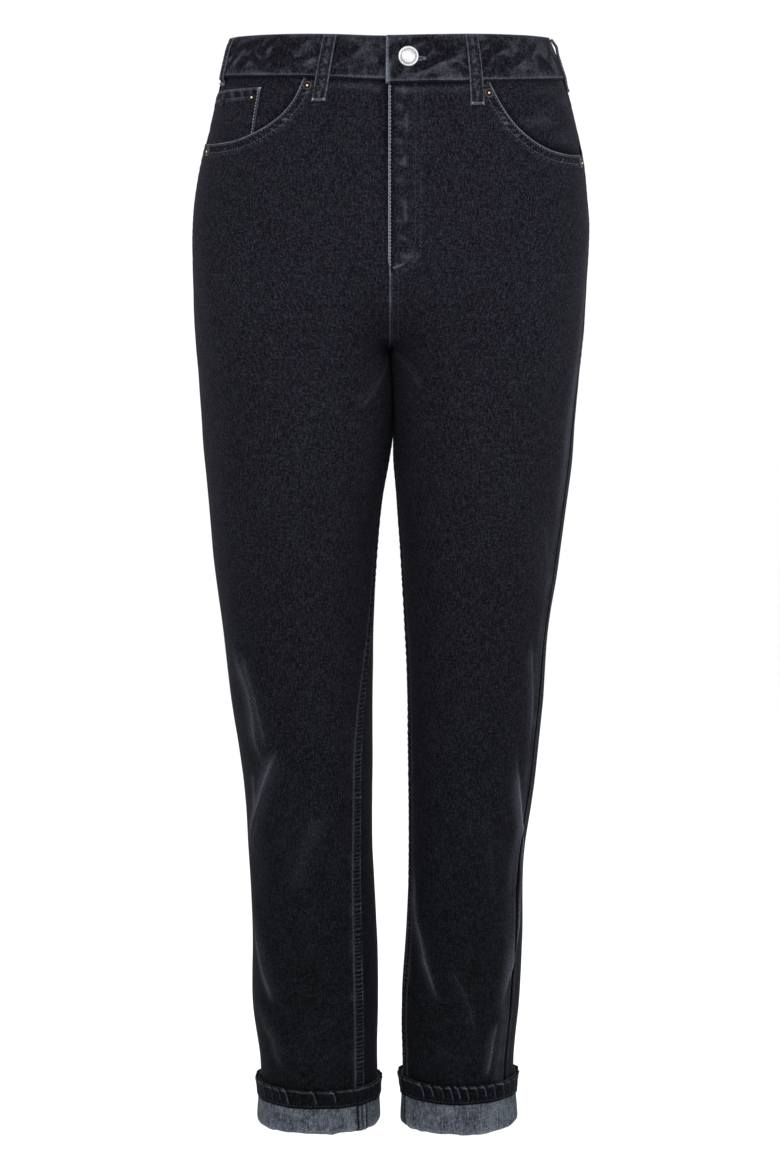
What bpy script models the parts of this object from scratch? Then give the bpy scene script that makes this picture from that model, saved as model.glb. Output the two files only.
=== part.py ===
import bpy
import bmesh
import numpy as np
from math import pi, radians
from mathutils import Vector
from mathutils.bvhtree import BVHTree

# Mom jeans, filled out as if worn and turned up once at each hem.
# Metres, +Z up, -Y is the front, +X is the wearer's left. The origin is on the body's centre line,
# halfway up the waistband.
# A place on the cloth is given by side, phi, z and out. phi runs round one leg: 0 at the inseam (or at
# centre front, higher up), a quarter turn at the front, half a turn at the side, a full turn at the inseam
# again (or at centre back). out is the distance outwards from the outer face of the leg panels.

COLLECTION = "mom_jeans"
RIGHT, LEFT = -1, 1
SIDES = {"right": RIGHT, "left": LEFT}

# Cloth
DENIM = 0.0012
SEAM_GAP = 0.0003
LAYER_STEP = DENIM + SEAM_GAP
SEAM_PHI = 0.0022            # half of a seam's gap, as an angle round a leg
BAND_OUT, BAND_IN = 0.0012, -0.0014
BAND_LAP = 0.00145           # each end of the waistband moves this far, out or in, where they lap
LOOP_THICK = 0.0018
HEM_THICK = 0.0014
CUFF_CLEAR = 0.0006          # from the leg to the turned-up cuff
LIFT = 0.0007                # what lies on a curved panel clears it by this much

# Heights
CROTCH_Z = -0.267
FRONT_RISE, BACK_RISE = 0.110, 0.165     # heights of the front and back rise curves above the crotch
LEG_END_Z = -0.9955
FLY_TURN_Z, FLY_FOOT_Z, FLY_FLAT_Z = -0.182, -0.190, -0.205
TOP_ROWS = 5
TOP_JOIN_Z = -0.118                      # rows above this height follow the panel's top edge
CUFF_TOP_Z = {"right": -0.9662, "left": -0.9618}
CUFF_FOOT_Z = -1.0084
HEM_HEIGHT = 0.0172
THIGHS_PART_Z = -0.300

# Half widths from the centre line and depths from the X axis, down the garment
SECTION_COLUMNS = ("z", "outer_right", "inner_right", "inner_left", "outer_left", "front", "back", "seat")
SECTIONS = (
    (0.0195, 0.1443, 0.0000, 0.0000, 0.1443, 0.0840, 0.0880, 0.02),
    (-0.0208, 0.1556, 0.0000, 0.0000, 0.1593, 0.0920, 0.0930, 0.03),
    (-0.0570, 0.1641, 0.0000, 0.0000, 0.1696, 0.0985, 0.1005, 0.05),
    (-0.0940, 0.1736, 0.0000, 0.0000, 0.1782, 0.1040, 0.1100, 0.07),
    (-0.1310, 0.1803, 0.0000, 0.0000, 0.1822, 0.1080, 0.1190, 0.09),
    (-0.1670, 0.1834, 0.0000, 0.0000, 0.1843, 0.1090, 0.1280, 0.11),
    (-0.2050, 0.1837, 0.0000, 0.0000, 0.1827, 0.1090, 0.1320, 0.12),
    (-0.2670, 0.1815, 0.0000, 0.0000, 0.1795, 0.1070, 0.1260, 0.12),
    (-0.3000, 0.1785, -0.0060, 0.0000, 0.1760, 0.1050, 0.1170, 0.10),
    (-0.3350, 0.1753, -0.0033, 0.0033, 0.1725, 0.1030, 0.1100, 0.05),
    (-0.3720, 0.1728, 0.0019, 0.0040, 0.1700, 0.1005, 0.1025, 0.03),
    (-0.4100, 0.1693, 0.0084, 0.0075, 0.1656, 0.0970, 0.0990, 0.02),
    (-0.4660, 0.1650, 0.0131, 0.0113, 0.1585, 0.0910, 0.0920, 0.02),
    (-0.5420, 0.1552, 0.0160, 0.0150, 0.1477, 0.0830, 0.0820, 0.02),
    (-0.6000, 0.1489, 0.0160, 0.0170, 0.1442, 0.0780, 0.0760, 0.02),
    (-0.6760, 0.1381, 0.0170, 0.0180, 0.1371, 0.0710, 0.0720, 0.02),
    (-0.7530, 0.1338, 0.0161, 0.0180, 0.1271, 0.0610, 0.0720, 0.02),
    (-0.8310, 0.1313, 0.0124, 0.0152, 0.1256, 0.0570, 0.0700, 0.02),
    (-0.8900, 0.1316, 0.0114, 0.0118, 0.1240, 0.0500, 0.0660, 0.02),
    (-0.9500, 0.1250, 0.0124, 0.0126, 0.1190, 0.0450, 0.0640, 0.02),
    (-1.0100, 0.1244, 0.0115, 0.0125, 0.1188, 0.0450, 0.0620, 0.02),
)
FRONT_FULL = 0.05            # how far the trunk's front corners stand out beyond an ellipse

# Angles of the seams round each leg, in degrees. Both legs' seams turn towards the wearer's left.
SEAM_COLUMNS = ("z", "in_right", "out_right", "in_left", "out_left")
SEAMS = (
    (0.020, 0, 184, 0, 170),
    (-0.200, 0, 186, 0, 169),
    (-0.267, 0, 190, 0, 166),
    (-0.350, 3, 193, 3, 161),
    (-0.450, 10, 196, 8, 158),
    (-0.540, 20, 202, 11, 156),
    (-0.600, 33, 212, 13, 155),
    (-0.720, 41, 221, 15, 150),
    (-0.830, 45, 225, 17, 146),
    (-1.010, 45, 225, 17, 144),
)

# The waistband's lower and upper edges, and the yoke seam, round each half of the waist
WAIST_COLUMNS = ("phi", "seam_right", "seam_left", "top")
WAIST = (
    (-20, -0.0213, -0.0241, 0.0185),
    (0, -0.0213, -0.0241, 0.0185),
    (60, -0.0186, -0.0224, 0.0200),
    (180, -0.0188, -0.0206, 0.0170),
    (360, -0.0195, -0.0195, 0.0188),
)
YOKE_SIDE_Z, YOKE_MIDDLE_Z = -0.046, -0.086

# The pocket mouths, from the waistband to the side seam: distance from the centre line, and height
MOUTHS = {
    "right": ((0.0771, -0.0187), (0.0854, -0.0364), (0.0965, -0.0506), (0.1105, -0.0615),
              (0.1199, -0.0669), (0.1367, -0.0743), (0.1541, -0.0781), (0.1670, -0.0793)),
    "left": ((0.0885, -0.0217), (0.0980, -0.0399), (0.1092, -0.0569), (0.1214, -0.0695),
             (0.1375, -0.0805), (0.1555, -0.0871), (0.1740, -0.0894)),
}
FACING_TUCK, COIN_TUCK = 0.014, 0.010    # how far they reach below the mouth, behind the front
FACING_SIDE_TUCK = 0.012                 # how far the facing reaches past the mouth's corner
COIN_EDGE_X = 0.1170                     # inner edge of the coin pocket, at the waist
COIN_TOP_Z = (-0.0275, -0.0330)          # its top edge, at the inner edge and at the side

# Fly: the left front laps over the right one
FLY_EDGE_X = 0.0015                      # the left front's edge, past the centre line
FLY_TUCK_X = 0.0120                      # the right front's edge, underneath
FLY_FLAT_X, FLY_RAMP_X = 0.005, 0.025

# Soft folds: from one place to another on a leg, in degrees and metres
FOLD_COLUMNS = ("side", "phi_start", "z_start", "phi_end", "z_end", "width", "height")
FOLDS = (
    (RIGHT, 116, -0.650, 148, -0.728, 0.011, 0.0026),
    (RIGHT, 154, -0.800, 128, -0.876, 0.010, 0.0024),
    (RIGHT, 143, -0.896, 127, -0.928, 0.009, 0.0020),
    (RIGHT, 82, -0.705, 104, -0.760, 0.012, 0.0014),
    (RIGHT, 246, -0.640, 292, -0.690, 0.012, 0.0026),
    (RIGHT, 318, -0.715, 270, -0.770, 0.011, 0.0024),
    (RIGHT, 250, -0.850, 296, -0.905, 0.010, 0.0022),
    (LEFT, 131, -0.668, 151, -0.755, 0.011, 0.0024),
    (LEFT, 152, -0.770, 129, -0.883, 0.010, 0.0024),
    (LEFT, 135, -0.896, 132, -0.928, 0.009, 0.0018),
    (LEFT, 28, -0.790, 46, -0.842, 0.010, 0.0020),
    (LEFT, 240, -0.650, 290, -0.700, 0.012, 0.0026),
    (LEFT, 312, -0.730, 262, -0.785, 0.011, 0.0024),
    (LEFT, 236, -0.870, 286, -0.915, 0.010, 0.0022),
)
LEG_RADIUS = 0.062           # turns an angle round the lower leg into a distance

# Back pockets, flat sizes, and distance round the body from centre back to the pocket's middle
POCKET_MIDDLE, POCKET_TOP_HALF, POCKET_FOOT_HALF = 0.100, 0.070, 0.059
POCKET_TOP_Z, POCKET_CORNER_Z, POCKET_POINT = -0.097, -0.205, 0.020
SEAT_RADIUS = 0.0855         # distance round the body for each radian of phi, at the seat
SEAT_REACH = 0.010

# Belt loops: side, angle in degrees, lean in degrees a metre, slack, tail below the waist seam, and how deep
# the cloth under the tail lies
LOOP_COLUMNS = ("name", "side", "phi", "lean", "slack", "tail", "under")
LOOPS = (
    ("front_right", RIGHT, 44.6, -61, 0.0010, 0.021, 0.0),
    ("front_left", LEFT, 55.6, 57, 0.0010, 0.021, 0.0),
    ("side_right", RIGHT, 151.0, -40, 0.0014, 0.0075, -0.0015),
    ("side_left", LEFT, 180.0, 0, 0.0030, 0.012, 0.0),
    ("back", LEFT, 360.0, 0, 0.0014, 0.021, 0.0),
)
LOOP_HALF = 0.0062
LOOP_BELOW_TOP = 0.0016

# Metal
BUTTON_PLACE = (0.0163, -0.0011)
BUTTON_RADIUS = 0.0093
RIVET_RADIUS = 0.0043
RIVETS = {
    "pocket_right": (RIGHT, 0.0740, -0.0262),
    "pocket_left": (LEFT, 0.0883, -0.0330),
    "side_right": (RIGHT, 0.1655, -0.0862),
    "side_left": (LEFT, 0.1742, -0.0965),
    "coin_inner": (RIGHT, 0.1240, -0.0370),
    "coin_outer": (RIGHT, 0.1520, -0.0405),
}

LOOKS = {
    "denim": ((0.012, 0.013, 0.018), 0.85, 0.0),
    "wrong_side": ((0.085, 0.105, 0.135), 0.90, 0.0),
    "silver": ((0.75, 0.75, 0.76), 0.22, 1.0),
    "copper": ((0.30, 0.20, 0.14), 0.35, 1.0),
}


# A smooth curve through points given in rising order
def smooth(x, xs, ys):
    xs, ys = np.asarray(xs, float), np.asarray(ys, float)
    steps = np.diff(ys) / np.diff(xs)
    slopes = np.concatenate([steps[:1], (steps[:-1] + steps[1:]) / 2, steps[-1:]])
    x = np.clip(x, xs[0], xs[-1])
    i = np.clip(np.searchsorted(xs, x) - 1, 0, len(xs) - 2)
    width = xs[i + 1] - xs[i]
    t = (x - xs[i]) / width
    low = ys[i] * (1 + 2 * t) + slopes[i] * width * t
    high = ys[i + 1] * (3 - 2 * t) - slopes[i + 1] * width * (1 - t)
    return low * (1 - t) ** 2 + high * t ** 2


def table_column(rows, columns, name):
    return [row[columns.index(name)] for row in rows]


def section(name, z):
    depths = [-row[0] for row in SECTIONS]
    return smooth(-np.asarray(z), depths, table_column(SECTIONS, SECTION_COLUMNS, name))


def seam_angle(which, side, z):
    depths = [-row[0] for row in SEAMS]
    name = which + "_" + side_name(side)
    return np.radians(smooth(-np.asarray(z), depths, table_column(SEAMS, SEAM_COLUMNS, name)))


def waist_height(name, phi):
    angles = np.radians(table_column(WAIST, WAIST_COLUMNS, "phi"))
    return smooth(phi, angles, table_column(WAIST, WAIST_COLUMNS, name))


def side_name(side):
    return "right" if side == RIGHT else "left"


def ease(x, start, end):
    t = np.clip((x - start) / (end - start), 0, 1)
    return t * t * (3 - 2 * t)


# The garment's form. Below the crotch it is two legs, each an ellipse; above it is one trunk. At the
# mid-plane the change follows the rise curves, a quarter ellipse at the front and at the back.
def body_point(side, phi, z):
    phi, z = np.broadcast_arrays(np.asarray(phi, float), np.asarray(z, float))
    outer = section("outer_" + side_name(side), z)
    inner = section("inner_" + side_name(side), z)
    front, back = section("front", z), section("back", z)
    middle_y, depth = (back - front) / 2, (back + front) / 2
    leg_x = (outer + inner) / 2 - (outer - inner) / 2 * np.cos(phi)
    leg_y = middle_y - depth * np.sin(phi)
    fullness = 1 + np.where(phi < pi, FRONT_FULL, section("seat", z)) * np.sin(phi) ** 2
    trunk_x = outer * np.sin(phi / 2) * fullness
    trunk_y = middle_y - depth * np.cos(phi / 2) * fullness
    near = np.clip(np.cos(phi - seam_angle("in", side, z)), 0, 1) ** 2
    climb = (z - CROTCH_Z) / np.where(phi < pi, FRONT_RISE, BACK_RISE)
    soft = 0.35 * (1 - near) + 1e-6
    climb = np.where(climb < -soft, 0, np.where(climb > soft, climb, (climb + soft) ** 2 / (4 * soft)))
    rise = (1 - (1 - np.clip(climb, 0, 1)) ** 2) ** (1 - 0.5 * near ** 6)
    weight = near * rise + (1 - near) * ease(z, CROTCH_Z - 0.06, CROTCH_Z + 0.15)
    x = leg_x + (trunk_x - leg_x) * weight
    y = leg_y + (trunk_y - leg_y) * weight
    return np.stack([side * x, y, z], axis=-1)


def fold_height(side, phi, z):
    total = np.zeros(np.broadcast(phi, z).shape)
    turn = np.mod(phi, 2 * pi)
    for row in FOLDS:
        fold = dict(zip(FOLD_COLUMNS, row))
        if fold["side"] != side:
            continue
        start = np.array([radians(fold["phi_start"]) * LEG_RADIUS, fold["z_start"]])
        run = np.array([radians(fold["phi_end"]) * LEG_RADIUS, fold["z_end"]]) - start
        u, v = turn * LEG_RADIUS - start[0], z - start[1]
        t = (u * run[0] + v * run[1]) / run.dot(run)
        near = np.clip(t, 0, 1)
        away = np.hypot(u - near * run[0], v - near * run[1]) / fold["width"]
        total = total + fold["height"] * np.exp(-away ** 2)
    return total


def outward(side, phi, z):
    step = 0.0005
    across = body_point(side, phi + step, z) - body_point(side, phi - step, z)
    along = body_point(side, phi, z + step) - body_point(side, phi, z - step)
    normal = np.cross(across, along) * side
    return normal / np.linalg.norm(normal, axis=-1, keepdims=True)


def cloth_point(side, phi, z, out):
    phi, z, out = np.broadcast_arrays(np.asarray(phi, float), np.asarray(z, float), np.asarray(out, float))
    reach = out + fold_height(side, phi, z)
    return body_point(side, phi, z) + outward(side, phi, z) * reach[..., None]


# Leg panels stay on their own side of the mid-plane, and of the slanted plane where the thighs meet
def panel_point(side, phi, z, out):
    point = cloth_point(side, phi, z, out)
    y, height = point[..., 1], point[..., 2]
    thigh = ease(-height, -CROTCH_Z - 0.005, -THIGHS_PART_Z)
    meeting = thigh * (0.003 + 0.045 * (y - 0.005))
    seamed = (phi > pi) | (height < FLY_FOOT_Z + 0.0005)
    least = np.where(height < CROTCH_Z, side * meeting + SEAM_GAP / 2 - out,
                     np.where(seamed, SEAM_GAP / 2, -1.0))
    point[..., 0] = side * np.maximum(side * point[..., 0], least)
    return point


# The angle at which the outer face is at distance x from the centre line, at height z
def phi_at(side, x, z):
    angles = np.linspace(-0.4, pi, 400)
    return float(np.interp(x, side * body_point(side, angles, z)[:, 0], angles))


def phi_width(side, phi, z, width):
    step = 0.01
    return width * 2 * step / np.linalg.norm(body_point(side, phi + step, z) - body_point(side, phi - step, z))


# Height of the pocket mouth's edge at an angle, or of the waist seam nearer the front
def mouth_height(side, phi):
    points = MOUTHS[side_name(side)]
    angles = [phi_at(side, x, z) for x, z in points]
    reach = smooth(phi, angles, [z for x, z in points])
    return np.where(phi < angles[0], waist_height("seam_" + side_name(side), phi), reach)


def yoke_height(side, phi):
    start = seam_angle("out", side, YOKE_SIDE_Z)
    share = np.clip((phi - start) / (2 * pi - start), 0, 1)
    return YOKE_SIDE_Z + (YOKE_MIDDLE_Z - YOKE_SIDE_Z) * share ** 1.15


# Heights of a panel's rows below its top, close together where the rise curve turns under
def panel_rows():
    low_rise = FLY_FLAT_Z - CROTCH_Z
    turn = [CROTCH_Z + low_rise * (k / 5) ** 2 for k in range(5, -1, -1)]
    thigh = list(np.linspace(CROTCH_Z, -0.360, 4)[1:]) + list(np.linspace(-0.360, -0.630, 6)[1:])
    shin = list(np.linspace(-0.630, LEG_END_Z, 14)[1:])
    return [TOP_JOIN_Z, -0.137, -0.157, FLY_TURN_Z, FLY_FOOT_Z] + turn + thigh + shin


# Angles across a front panel, as shares of the way from centre front to the side seam. At the top they
# keep to the fly, the mouth's corner and the coin pocket; down the leg they are even.
def front_columns(side):
    name = side_name(side)
    corner_x, corner_z = MOUTHS[name][0]
    end = float(seam_angle("out", side, corner_z))
    fly = [phi_at(side, x, corner_z) for x in (FLY_FLAT_X, FLY_RAMP_X)]
    corner = phi_at(side, corner_x, corner_z)
    coin = phi_at(side, COIN_EDGE_X, -0.03)
    tucked = phi_at(side, corner_x - FACING_SIDE_TUCK, corner_z)
    inner = [(fly[1] + tucked) / 2, tucked, corner]
    mouth = [corner + (coin - corner) * share for share in (0.2, 0.5, 1)]
    outer = list(np.linspace(coin, end, 5))[1:]
    shares = np.array([0] + fly + inner + mouth + outer) / end
    return shares, 2 + len(inner)


def front_grid(side):
    shares, corner = front_columns(side)
    even = np.linspace(0, 1, len(shares))

    def angles(level):
        mix = ease(level, -0.36, -0.19)
        start, end = seam_angle("in", side, level), seam_angle("out", side, level)
        phi = start + (end - start) * (shares * mix + even * (1 - mix))
        phi[-1] -= SEAM_PHI
        phi[0] = fly_edge(side, level, phi[0])
        return phi

    top = angles(TOP_JOIN_Z)
    edge = mouth_height(side, top)
    edge[corner] = waist_height("seam_" + side_name(side), top[corner])
    return panel_grid(angles, edge - SEAM_GAP / 2)


# A panel's rows: the first few spread from its top edge to the join, the rest level
def panel_grid(angles, edge):
    phis, heights = [], []
    for share in np.arange(TOP_ROWS) / TOP_ROWS:
        phis.append(angles(TOP_JOIN_Z))
        heights.append(edge + (TOP_JOIN_Z - edge) * share)
    for z in panel_rows():
        phis.append(angles(z))
        heights.append(np.full(len(edge), z))
    return np.array(phis), np.array(heights)


# Where a front panel's inner edge lies: past the centre line in the fly, at the seam below it
def fly_edge(side, z, seam):
    if z < FLY_FOOT_Z:
        return seam + (SEAM_PHI if z < CROTCH_Z else 0)
    reach = FLY_TUCK_X if side == RIGHT else FLY_EDGE_X
    share = min(1, (z - FLY_FOOT_Z) / (FLY_TURN_Z - FLY_FOOT_Z))
    return phi_at(side, -reach, z) * share


# The right front dips under the left one beside the fly
def fly_dip(side, phi, z):
    if side == LEFT:
        return np.zeros(np.shape(phi))
    flat, ramp = phi_at(side, FLY_FLAT_X, -0.0187), phi_at(side, FLY_RAMP_X, -0.0187)
    across = 1 - np.clip((phi - flat) / (ramp - flat), 0, 1)
    down = np.clip((z - FLY_FLAT_Z) / (FLY_FOOT_Z - FLY_FLAT_Z), 0, 1)
    return -LAYER_STEP * across * down


# What lies in a pocket mouth is level with the yoke above, and dips to pass behind the front
def mouth_dip(above):
    return -LAYER_STEP * (1 - ease(above, 0.003, 0.018))


def add_object(name, mesh, look):
    piece = bpy.data.objects.new(name, mesh)
    colour, roughness, metallic = LOOKS[look]
    finish = bpy.data.materials.new(name + "_finish")
    finish.use_nodes = True
    shader = finish.node_tree.nodes["Principled BSDF"]
    shader.inputs["Base Color"].default_value = (*colour, 1)
    shader.inputs["Roughness"].default_value = roughness
    shader.inputs["Metallic"].default_value = metallic
    if not mesh.materials:
        mesh.materials.append(finish)
    bpy.data.collections[COLLECTION].objects.link(piece)
    return piece


# A closed loft over a grid of points. Each row is a closed ring. The rows close on themselves when
# round_rows is set; otherwise the first and the last are capped.
def loft(name, grid, look, round_rows=False):
    rows, columns = grid.shape[:2]
    shell = bmesh.new()
    points = [[shell.verts.new(point) for point in row] for row in grid]
    for r in range(rows if round_rows else rows - 1):
        for c in range(columns):
            here, below = points[r], points[(r + 1) % rows]
            side = (c + 1) % columns
            shell.faces.new((here[c], here[side], below[side]))
            shell.faces.new((here[c], below[side], below[c]))
    if not round_rows:
        shell.faces.new(points[0])
        shell.faces.new(list(reversed(points[-1])))
    return finish_shell(name, shell, look)


# A wall of cloth between two grids of points, with its four edges closed
def wall(name, outside, inside, look):
    rows, columns = outside.shape[:2]
    shell = bmesh.new()
    layers = [[[shell.verts.new(point) for point in row] for row in layer] for layer in (outside, inside)]
    for layer in layers:
        for r in range(rows - 1):
            for c in range(columns - 1):
                a, b = layer[r][c], layer[r][c + 1]
                d, e = layer[r + 1][c], layer[r + 1][c + 1]
                shell.faces.new((a, b, e))
                shell.faces.new((a, e, d))
    outer, inner = layers
    border = [(0, c) for c in range(columns)] + [(r, columns - 1) for r in range(1, rows)]
    border += [(rows - 1, c) for c in range(columns - 2, -1, -1)] + [(r, 0) for r in range(rows - 2, 0, -1)]
    for (r, c), (next_r, next_c) in zip(border, border[1:] + border[:1]):
        shell.faces.new((outer[r][c], outer[next_r][next_c], inner[next_r][next_c]))
        shell.faces.new((outer[r][c], inner[next_r][next_c], inner[r][c]))
    return finish_shell(name, shell, look)


def finish_shell(name, shell, look):
    bmesh.ops.recalc_face_normals(shell, faces=shell.faces)
    mesh = bpy.data.meshes.new(name)
    shell.to_mesh(mesh)
    shell.free()
    mesh.shade_smooth()
    mesh.set_sharp_from_angle(angle=radians(50))
    return add_object(name, mesh, look)


def cloth_wall(name, side, phi, z, out, look="denim", place=cloth_point):
    return wall(name, place(side, phi, z, out), place(side, phi, z, out - DENIM), look)


def make_front(name, side):
    phi, z = front_grid(side)
    cloth_wall("front_" + name, side, phi, z, fly_dip(side, phi, z), place=panel_point)


def make_back(name, side):
    shares = np.linspace(0, 1, 11)

    def angles(level):
        start = seam_angle("out", side, level) + SEAM_PHI
        end = 2 * pi + seam_angle("in", side, level) - (SEAM_PHI if level < CROTCH_Z else 0)
        return start + (end - start) * shares

    phi, z = panel_grid(angles, yoke_height(side, angles(TOP_JOIN_Z)) - SEAM_GAP / 2)
    return cloth_wall("back_" + name, side, phi, z, np.zeros(z.shape), place=panel_point)


def make_yoke(name, side):
    start = float(seam_angle("out", side, YOKE_SIDE_Z)) + SEAM_PHI
    phi, share = np.meshgrid(np.linspace(start, 2 * pi, 11), np.linspace(0, 1, 4))
    top = waist_height("seam_" + name, phi) - SEAM_GAP / 2
    foot = yoke_height(side, phi) + SEAM_GAP / 2
    z = top + (foot - top) * share
    cloth_wall("yoke_" + name, side, phi, z, np.zeros(z.shape), place=panel_point)


# Heights above the mouth's edge of the rows of what lies in it, squeezed together near its corner
def mouth_rows(side, phi, reaches):
    edge = mouth_height(side, phi)
    room = waist_height("seam_" + side_name(side), phi) - SEAM_GAP / 2 - edge
    squeeze = np.minimum(1, (room + 0.004) / 0.044)
    rows = [-0.004 + (reach + 0.004) * squeeze for reach in reaches]
    return edge, room, rows


def make_facing(name, side, depth):
    shares, corner = front_columns(side)
    end = float(seam_angle("out", side, -0.03))
    phi = shares[corner - 1:] * end
    phi[-1] -= SEAM_PHI
    edge, room, rows = mouth_rows(side, phi, (0.029, 0.018, 0.0105, 0.003, -0.004))
    above = np.array([room] + rows + [np.full(len(phi), -FACING_TUCK)])
    z = edge + above
    cloth_wall("pocket_facing_" + name, side, np.broadcast_to(phi, z.shape), z, mouth_dip(above) - depth)


def make_coin_pocket():
    shares, corner = front_columns(RIGHT)
    end = float(seam_angle("out", RIGHT, -0.03))
    phi = shares[corner + 3:] * end
    phi[-1] -= SEAM_PHI
    edge, _, rows = mouth_rows(RIGHT, phi, (0.029, 0.018, 0.0105, 0.003, -0.004))
    top = np.linspace(COIN_TOP_Z[0], COIN_TOP_Z[1], len(phi)) - edge
    above = np.array([top] + rows + [np.full(len(phi), -COIN_TUCK)])
    z = edge + above
    cloth_wall("coin_pocket", RIGHT, np.broadcast_to(phi, z.shape), z, mouth_dip(above))


# The waistband runs from its left end at the fly round the back to its right end under the left one
def make_waistband():
    start = phi_at(LEFT, -0.0036, 0.0) / 2
    end = 2 * pi - phi_at(RIGHT, -0.034, 0.0) / 2
    profile = ((0.02, BAND_OUT), (0.5, BAND_OUT), (0.98, BAND_OUT), (1.0, 0.0),
               (0.98, BAND_IN), (0.5, BAND_IN), (0.02, BAND_IN), (0.0, 0.0))
    grid = []
    for turn in np.linspace(start, end, 58):
        side = LEFT if turn <= pi else RIGHT
        phi = 2 * turn if turn <= pi else 2 * (2 * pi - turn)
        lap = BAND_LAP * (1 - ease(turn, 0.25, 0.41)) - BAND_LAP * ease(turn, 2 * pi - 0.35, 2 * pi - 0.12)
        low = waist_height("seam_" + side_name(side), phi) + SEAM_GAP / 2
        high = waist_height("top", phi)
        grid.append([cloth_point(side, phi, low + (high - low) * share, out + lap) for share, out in profile])
    loft("waistband", np.array(grid), "denim")


def make_belt_loop(name, side, phi, lean, slack, tail, under):
    seam = float(waist_height("seam_" + side_name(side), radians(phi)))
    top = float(waist_height("top", radians(phi))) - LOOP_BELOW_TOP
    clear = BAND_OUT + SEAM_GAP
    path = (
        (seam - tail, under + SEAM_GAP),
        (seam - tail * 0.5, under + SEAM_GAP + 0.0002),
        (seam - 0.0025, max(under, 0) + clear * 0.7),
        (seam + 0.0015, clear + 0.0001),
        (seam + 0.011, clear + slack * 0.8),
        (seam + 0.022, clear + slack),
        (top - 0.008, clear + slack * 0.9),
        (top - 0.003, clear + slack * 0.35),
        (top, clear),
    )
    heights = np.array([z for z, _ in path])[::-1, None]
    stand = np.array([out for _, out in path])[::-1, None]
    middle = radians(phi) + np.radians(lean) * (heights - seam)
    half = phi_width(side, radians(phi), seam, LOOP_HALF)
    angles = middle + half * np.array([-1, 0, 1])[None, :]
    outside = cloth_point(side, angles, heights, stand + LOOP_THICK)
    wall("belt_loop_" + name, outside, cloth_point(side, angles, heights, stand), "denim")


# Moves each point out along its normal until it clears the carrier's own faces, which are flatter than the form
def seat_on(carrier, points, normals, out):
    mesh = carrier.data
    faces = BVHTree.FromPolygons([v.co for v in mesh.vertices], [p.vertices for p in mesh.polygons])
    seated = np.empty(points.shape)
    for place in np.ndindex(points.shape[:2]):
        normal = Vector(normals[place])
        point = Vector(points[place])
        hit = faces.ray_cast(point + normal * SEAT_REACH, -normal)[0]
        seated[place] = point + normal * (max(0, (hit - point).dot(normal)) + out)
    return seated


def make_back_pocket(name, side, panel):
    across, down = np.meshgrid(np.linspace(-1, 1, 11), np.linspace(0, 1, 8))
    half = POCKET_TOP_HALF + (POCKET_FOOT_HALF - POCKET_TOP_HALF) * down
    foot = POCKET_CORNER_Z - POCKET_POINT * (1 - abs(across))
    phi = 2 * pi - (POCKET_MIDDLE + across * half) / SEAT_RADIUS
    z = POCKET_TOP_Z + (foot - POCKET_TOP_Z) * down
    points, normals = cloth_point(side, phi, z, 0), outward(side, phi, z)
    inside = seat_on(panel, points, normals, LIFT)
    wall("back_pocket_" + name, inside + normals * DENIM, inside, "denim")


# A ring of cloth round one ankle: the profile's points are distance out and height
def make_ring(name, side, profile, look, around):
    start = float(seam_angle("in", side, LEG_END_Z))
    grid = []
    for phi in start + np.linspace(0, 2 * pi, around, endpoint=False):
        grid.append([cloth_point(side, phi, z, out) for out, z in profile])
    loft(name, np.array(grid), look, round_rows=True)


def make_cuff(name, side):
    top, foot = CUFF_TOP_Z[name], CUFF_FOOT_Z
    inner_top = LEG_END_Z - SEAM_GAP
    near, far = CUFF_CLEAR, CUFF_CLEAR + DENIM
    profile = (
        (far, top), (far + 0.0003, foot + 0.022), (far + 0.0009, foot + 0.0040), (0.0014, foot),
        (-0.0004, foot + 0.0008), (-DENIM, foot + 0.0045), (-DENIM, inner_top), (0.0, inner_top),
        (0.0002, foot + 0.0040), (near + 0.0008, foot + 0.0038), (near + 0.0003, foot + 0.022), (near, top),
    )
    make_ring("cuff_" + name, side, profile, "wrong_side", 36)


def make_hem(name, side):
    top = CUFF_TOP_Z[name]
    inner = CUFF_CLEAR + DENIM + SEAM_GAP
    outer = inner + HEM_THICK
    foot = top - HEM_HEIGHT
    profile = ((outer, top + 0.0002), (outer + 0.0002, (top + foot) / 2), (outer, foot + 0.0004),
               (inner + 0.0004, foot), (inner, top), (inner + 0.0006, top + 0.0010))
    make_ring("hem_" + name, side, profile, "denim", 36)


# A turned piece: its profile runs down the outer side from the top of the axis, and back to the axis below
def turned_mesh(name, profile, steps):
    mesh = bpy.data.meshes.new(name)
    mesh.from_pydata([(r, 0, h) for r, h in profile], [(i, i + 1) for i in range(len(profile) - 1)], [])
    maker = bpy.data.objects.new(name + "_profile", mesh)
    bpy.context.scene.collection.objects.link(maker)
    screw = maker.modifiers.new("turn", "SCREW")
    screw.steps = screw.render_steps = steps
    screw.use_merge_vertices = True
    screw.merge_threshold = 0.00001
    screw.use_smooth_shade = True
    turned = bpy.data.meshes.new_from_object(maker.evaluated_get(bpy.context.evaluated_depsgraph_get()))
    turned.name = name
    bpy.data.objects.remove(maker)
    turned.set_sharp_from_angle(angle=radians(40))
    return turned


def place_on_cloth(piece, side, phi, z, out):
    piece.location = Vector(cloth_point(side, phi, z, out))
    facing = Vector(outward(side, np.asarray(phi, float), np.asarray(z, float)))
    piece.rotation_mode = "QUATERNION"
    piece.rotation_quaternion = facing.to_track_quat("Z", "Y")


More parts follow.
